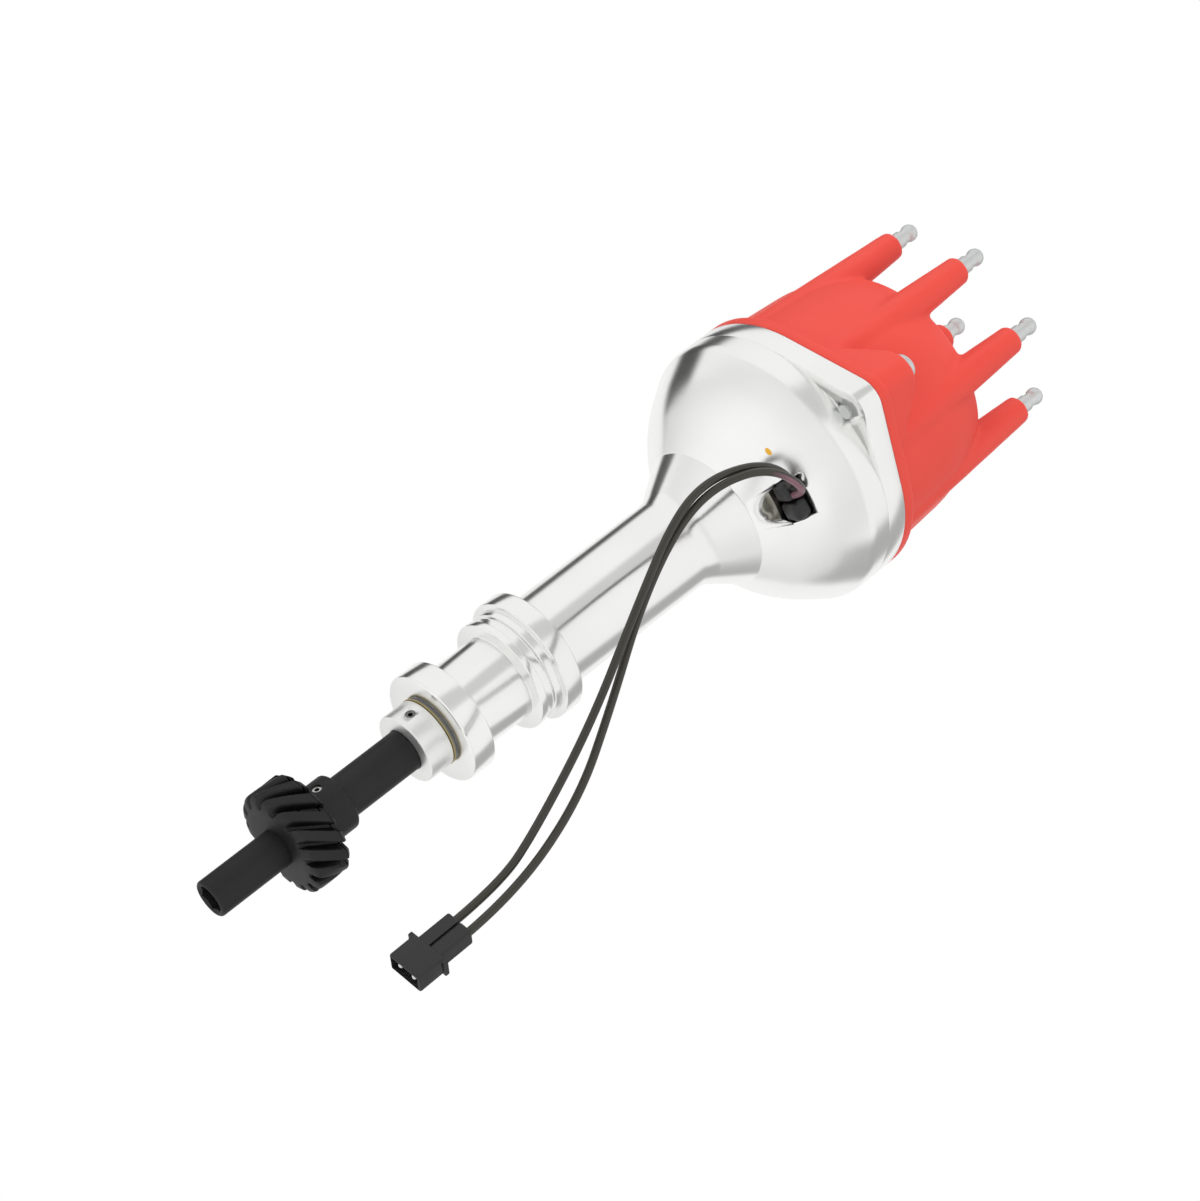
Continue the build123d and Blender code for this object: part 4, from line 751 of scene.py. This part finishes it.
def buildTerminals(name, facts, places, tipZ, ballZ, nodeName):
    # each is a turned bar with a collar over the post's tip, a neck and a ball with a flat crown
    low = math.asin(facts["neck"] / facts["ballRadius"])
    high = math.acos(facts["crown"] / facts["ballRadius"])
    foot, seat = tipZ - facts["barLength"], tipZ - facts["seatDepth"]
    shoulder = ballZ + facts["collarTop"]
    form = bmesh.new()
    outline(form, [(0.0, foot, 0.0), (facts["bar"], foot, 0.0), (facts["bar"], seat, 0.0),
                   (facts["collar"], seat, 0.0), (facts["collar"], shoulder, 0.3),
                   (facts["neck"], shoulder, 0.0)], closed=False)
    # the last corner is the highest, and the nearest to the axis at that height
    last = max(form.verts, key=lambda v: v.co.z * 100 - v.co.x)
    for k in range(facts["ballSteps"] + 1):
        swing = math.pi - low + (high - math.pi + low) * k / facts["ballSteps"]
        spot = form.verts.new((facts["ballRadius"] * mm * math.sin(swing), 0,
                               (ballZ + facts["ballRadius"] * math.cos(swing)) * mm))
        form.edges.new((last, spot))
        last = spot
    form.edges.new((last, form.verts.new((0, 0, (ballZ + facts["crown"]) * mm))))
    turn(form, 48)
    setOut(form, places)
    linkForm(name, form, "nickelPlate", "housing", nodeName, 40)


buildTerminals("plugBalls", terminal, plugPlaces, cap["postTipZ"], cap["plugBallZ"], "plug_terminals")
buildTerminals("coilBall", terminal, [(0, 0)], cap["coilTipZ"], cap["coilBallZ"], "coil_terminal")
print("terminals set")

# pickup plate screws: their blind ends stay inside the bowl's wall
plateScrews = {
    "circle": 26.6, "angles": (15, 135, 255), "seat": 90.6, "head": 2.7, "headHeight": 1.8,
    "shank": 1.5, "depth": 3.6, "socket": 1.2, "socketDepth": 1.0,
}


def buildPlateScrews(facts):
    form = bmesh.new()
    low, high = facts["seat"] - facts["depth"], facts["seat"] + facts["headHeight"]
    outline(form, [(0.0, low, 0.0), (facts["shank"], low, 0.3), (facts["shank"], facts["seat"], 0.0),
                   (facts["head"], facts["seat"], 0.0), (facts["head"], high, 0.4),
                   (facts["socket"], high, 0.1), (facts["socket"], high - facts["socketDepth"], 0.0),
                   (0.0, high - facts["socketDepth"], 0.0)], closed=False)
    turn(form, 36)
    setOut(form, ringPlaces(facts["circle"], facts["angles"]))
    linkForm("plateScrewSet", form, "zincPlate", "housing", "plate_screws")


buildPlateScrews(plateScrews)
print("plate screws set")

# grommet: soft rubber in two halves, squeezed together in the outlet
grommet = {
    "inner": 29.3, "outer": 36.4, "low": 89.25, "high": 95.5, "half": 6.8, "split": 0.2, "round": 1.7,
}


def addBox(form, low, high, rounding):
    # a box between two corners in mm, with its edges rounded
    block = bmesh.new()
    bmesh.ops.create_cube(block, size=1.0)
    bmesh.ops.scale(block, vec=[(b - a) * mm for a, b in zip(low, high)], verts=block.verts)
    bmesh.ops.translate(block, vec=[(a + b) / 2 * mm for a, b in zip(low, high)], verts=block.verts)
    if rounding:
        bmesh.ops.bevel(block, geom=block.edges[:], offset=rounding * mm, segments=5, profile=0.5,
                        affect="EDGES", material=-1)
    mergeInto(form, block)


form = bmesh.new()
for side in (-1, 1):
    near, far = sorted((side * grommet["split"], side * grommet["half"]))
    addBox(form, (near, grommet["low"], grommet["inner"]), (far, grommet["high"], grommet["outer"]),
           grommet["round"])
bmesh.ops.transform(form, matrix=sideFrame(housing["outletAngle"]), verts=form.verts)
linkForm("grommetHalves", form, "grommetRubber", "housing", "grommet", 50)
print("grommet squeezed in")

# the assembler's paint mark on the bowl, a thin dab that follows the surface
paintMark = {
    "place": (-4.65, -36.06, 92.86), "facing": (-0.101, -0.744, -0.661), "radius": 1.1,
    "stretch": (0.7, 1.25, 0.12),
}
form = bmesh.new()
bmesh.ops.create_uvsphere(form, u_segments=32, v_segments=16, radius=paintMark["radius"] * mm)
bmesh.ops.scale(form, vec=paintMark["stretch"], verts=form.verts)
lie = Vector(paintMark["facing"]).to_track_quat("Z", "X").to_matrix().to_4x4()
bmesh.ops.transform(form, matrix=Matrix.Translation(Vector(paintMark["place"]) * mm) @ lie,
                    verts=form.verts)
linkForm("paintMark", form, "paintMark", "housing", None, 60)

# plug: a two-way nylon housing with its mouth down, and two pins
plug = {
    "place": (47.4, -50.0, -106.6), "turn": -34.0, "front": (11.9, 6.4, 9.6), "rear": (9.4, 5.6, 11.2),
    "ear": (14.6, 5.6, 1.5), "wall": 0.65, "depth": 7.5, "pitch": 5.4, "pinRadius": 0.9,
    "pinTip": 0.9, "pinNose": 0.5, "pinEnd": 13.6, "grooveWidth": 0.9, "grooveDepth": 0.9, "round": 0.7,
    "earRound": 0.3, "mouthRound": 0.2, "overlap": 1.5,
}
plugFrame = Matrix.Translation(Vector(plug["place"]) * mm) @ Matrix.Rotation(
    math.radians(plug["turn"]), 4, "Z")


def buildPlug(facts):
    wide, thick, long = facts["front"]
    rearWide, rearThick, rearLong = facts["rear"]
    earWide, earThick, earLong = facts["ear"]
    wall = facts["wall"]
    form = bmesh.new()
    addBox(form, (-wide / 2, -thick / 2, 0), (wide / 2, thick / 2, long), facts["round"])
    body = linkForm("plugBody", form, "plugNylon", "housing", None, 40)
    mouth = bmesh.new()
    addBox(mouth, (-wide / 2 + wall, -thick / 2 + wall, -1),
           (wide / 2 - wall, thick / 2 - wall, facts["depth"]), facts["mouthRound"])
    combine(body, mouth)
    ear = bmesh.new()
    addBox(ear, (-earWide / 2, -earThick / 2, long - earLong), (earWide / 2, earThick / 2, long),
           facts["earRound"])
    combine(body, ear, "UNION")
    rear = bmesh.new()
    addBox(rear, (-rearWide / 2, -rearThick / 2, long - facts["overlap"]),
           (rearWide / 2, rearThick / 2, long + rearLong), facts["round"])
    combine(body, rear, "UNION")
    groove = bmesh.new()
    addBox(groove, (-facts["grooveWidth"] / 2, -rearThick, long),
           (facts["grooveWidth"] / 2, -rearThick / 2 + facts["grooveDepth"], long + rearLong + 1),
           facts["mouthRound"])
    combine(body, groove)
    body.data.transform(plugFrame)
    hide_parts("plug_housing")
    pins = bmesh.new()
    for side in (-1, 1):
        across = side * facts["pitch"] / 2
        start = facts["pinTip"] + facts["pinNose"]
        cylinder(pins, facts["pinRadius"], start, facts["pinEnd"], (across, 0), 32)
        bmesh.ops.create_uvsphere(pins, u_segments=32, v_segments=16, radius=facts["pinRadius"] * mm,
                                  matrix=Matrix.Translation((across * mm, 0, start * mm)))
    bmesh.ops.transform(pins, matrix=plugFrame, verts=pins.verts)
    linkForm("plugPins", pins, "nickelPlate", "housing", "plug_pins", 40)


buildPlug(plug)
print("plug made")

# studio: a pale floor far below, soft boxes and an even surround
studio = {
    "floorDepth": -0.95, "floorHalf": 6.0, "floorTone": "#FAFAFA",
    "keyPlace": (-1.1, -1.0, 1.3), "keySize": 1.6, "keyPower": 15.0,
    "fillPlace": (1.6, -1.2, 0.2), "fillSize": 1.6, "fillPower": 5.0,
    "rimPlace": (0.6, 1.4, 1.0), "rimSize": 1.3, "rimPower": 6.0,
    "surround": "#FFFFFF",
    # each flag: its grey, the way it lies, and where its soft edge starts and ends
    "flags": [("#4A4A4A", (-0.76, 0.65, 0), 0.962, 0.992), ("#B4B4B4", (0.9, 0.436, 0), 0.9, 0.98),
              ("#D6D6D6", (-0.35, -0.937, 0), 0.93, 0.99)],
    "strength": 0.98,
}
floorMesh = bpy.data.meshes.new("studioFloor")
floorForm = bmesh.new()
bmesh.ops.create_grid(floorForm, x_segments=1, y_segments=1, size=studio["floorHalf"])
bmesh.ops.translate(floorForm, verts=floorForm.verts, vec=(0, 0, studio["floorDepth"]))
floorForm.to_mesh(floorMesh)
floorForm.free()
floor = bpy.data.objects.new("studioFloor", floorMesh)
bpy.context.scene.collection.objects.link(floor)
floorPaint, floorTree = newMaterial("floorPaint")
finishMaterial(floorTree, addNode(floorTree, "ShaderNodeBsdfPrincipled", Roughness=0.8,
                                  Base_Color=colour(studio["floorTone"])))
floorMesh.materials.append(floorPaint)


def softBox(name, place, size, power, aim=(0.0, 0.0, 0.05)):
    # a square area light, aimed at the part
    light = bpy.data.lights.new(name, "AREA")
    light.shape = "SQUARE"
    light.size = size
    light.energy = power
    box = bpy.data.objects.new(name, light)
    bpy.context.scene.collection.objects.link(box)
    towards = Vector(aim) - Vector(place)
    box.matrix_world = Matrix.Translation(place) @ towards.to_track_quat("-Z", "Y").to_matrix().to_4x4()
    # the metal mirrors the surround alone, so no box shows as a clipped patch
    box.visible_glossy = False


softBox("keyBox", studio["keyPlace"], studio["keySize"], studio["keyPower"])
softBox("fillBox", studio["fillPlace"], studio["fillSize"], studio["fillPower"])
softBox("rimBox", studio["rimPlace"], studio["rimSize"], studio["rimPower"])

world = bpy.data.worlds.new("studioWorld")
world.use_nodes = True
bpy.context.scene.world = world
tree = world.node_tree
tree.nodes.clear()
# tall flags in an even white surround give the turned metal its lengthwise bands
place = addNode(tree, "ShaderNodeTexCoord")
level = addNode(tree, "ShaderNodeVectorMath", [(0, place.outputs["Generated"])], operation="MULTIPLY")
level.inputs[1].default_value = (1, 1, 0)
level = addNode(tree, "ShaderNodeVectorMath", [(0, level.outputs[0])], operation="NORMALIZE")
sky = studio["surround"]
for shade, facing, start, end in studio["flags"]:
    along = addNode(tree, "ShaderNodeVectorMath", [(0, level.outputs[0])], operation="DOT_PRODUCT")
    along.inputs[1].default_value = facing
    spread = addNode(tree, "ShaderNodeMapRange", [("Value", along.outputs["Value"])],
                     interpolation_type="SMOOTHSTEP")
    spread.inputs["From Min"].default_value = start
    spread.inputs["From Max"].default_value = end
    sky = blendColours(tree, spread.outputs["Result"], sky, shade)
surround = addNode(tree, "ShaderNodeBackground", [("Color", sky.outputs[2])],
                   Strength=studio["strength"])
plain = addNode(tree, "ShaderNodeBackground", Color=(1, 1, 1, 1), Strength=1.0)
ray = addNode(tree, "ShaderNodeLightPath")
mixed = addNode(tree, "ShaderNodeMixShader", [
    (0, ray.outputs["Is Camera Ray"]), (1, surround.outputs[0]), (2, plain.outputs[0])])
addNode(tree, "ShaderNodeOutputWorld", [("Surface", mixed.outputs[0])])
bpy.context.scene.view_settings.view_transform = "Standard"
print("studio lit")
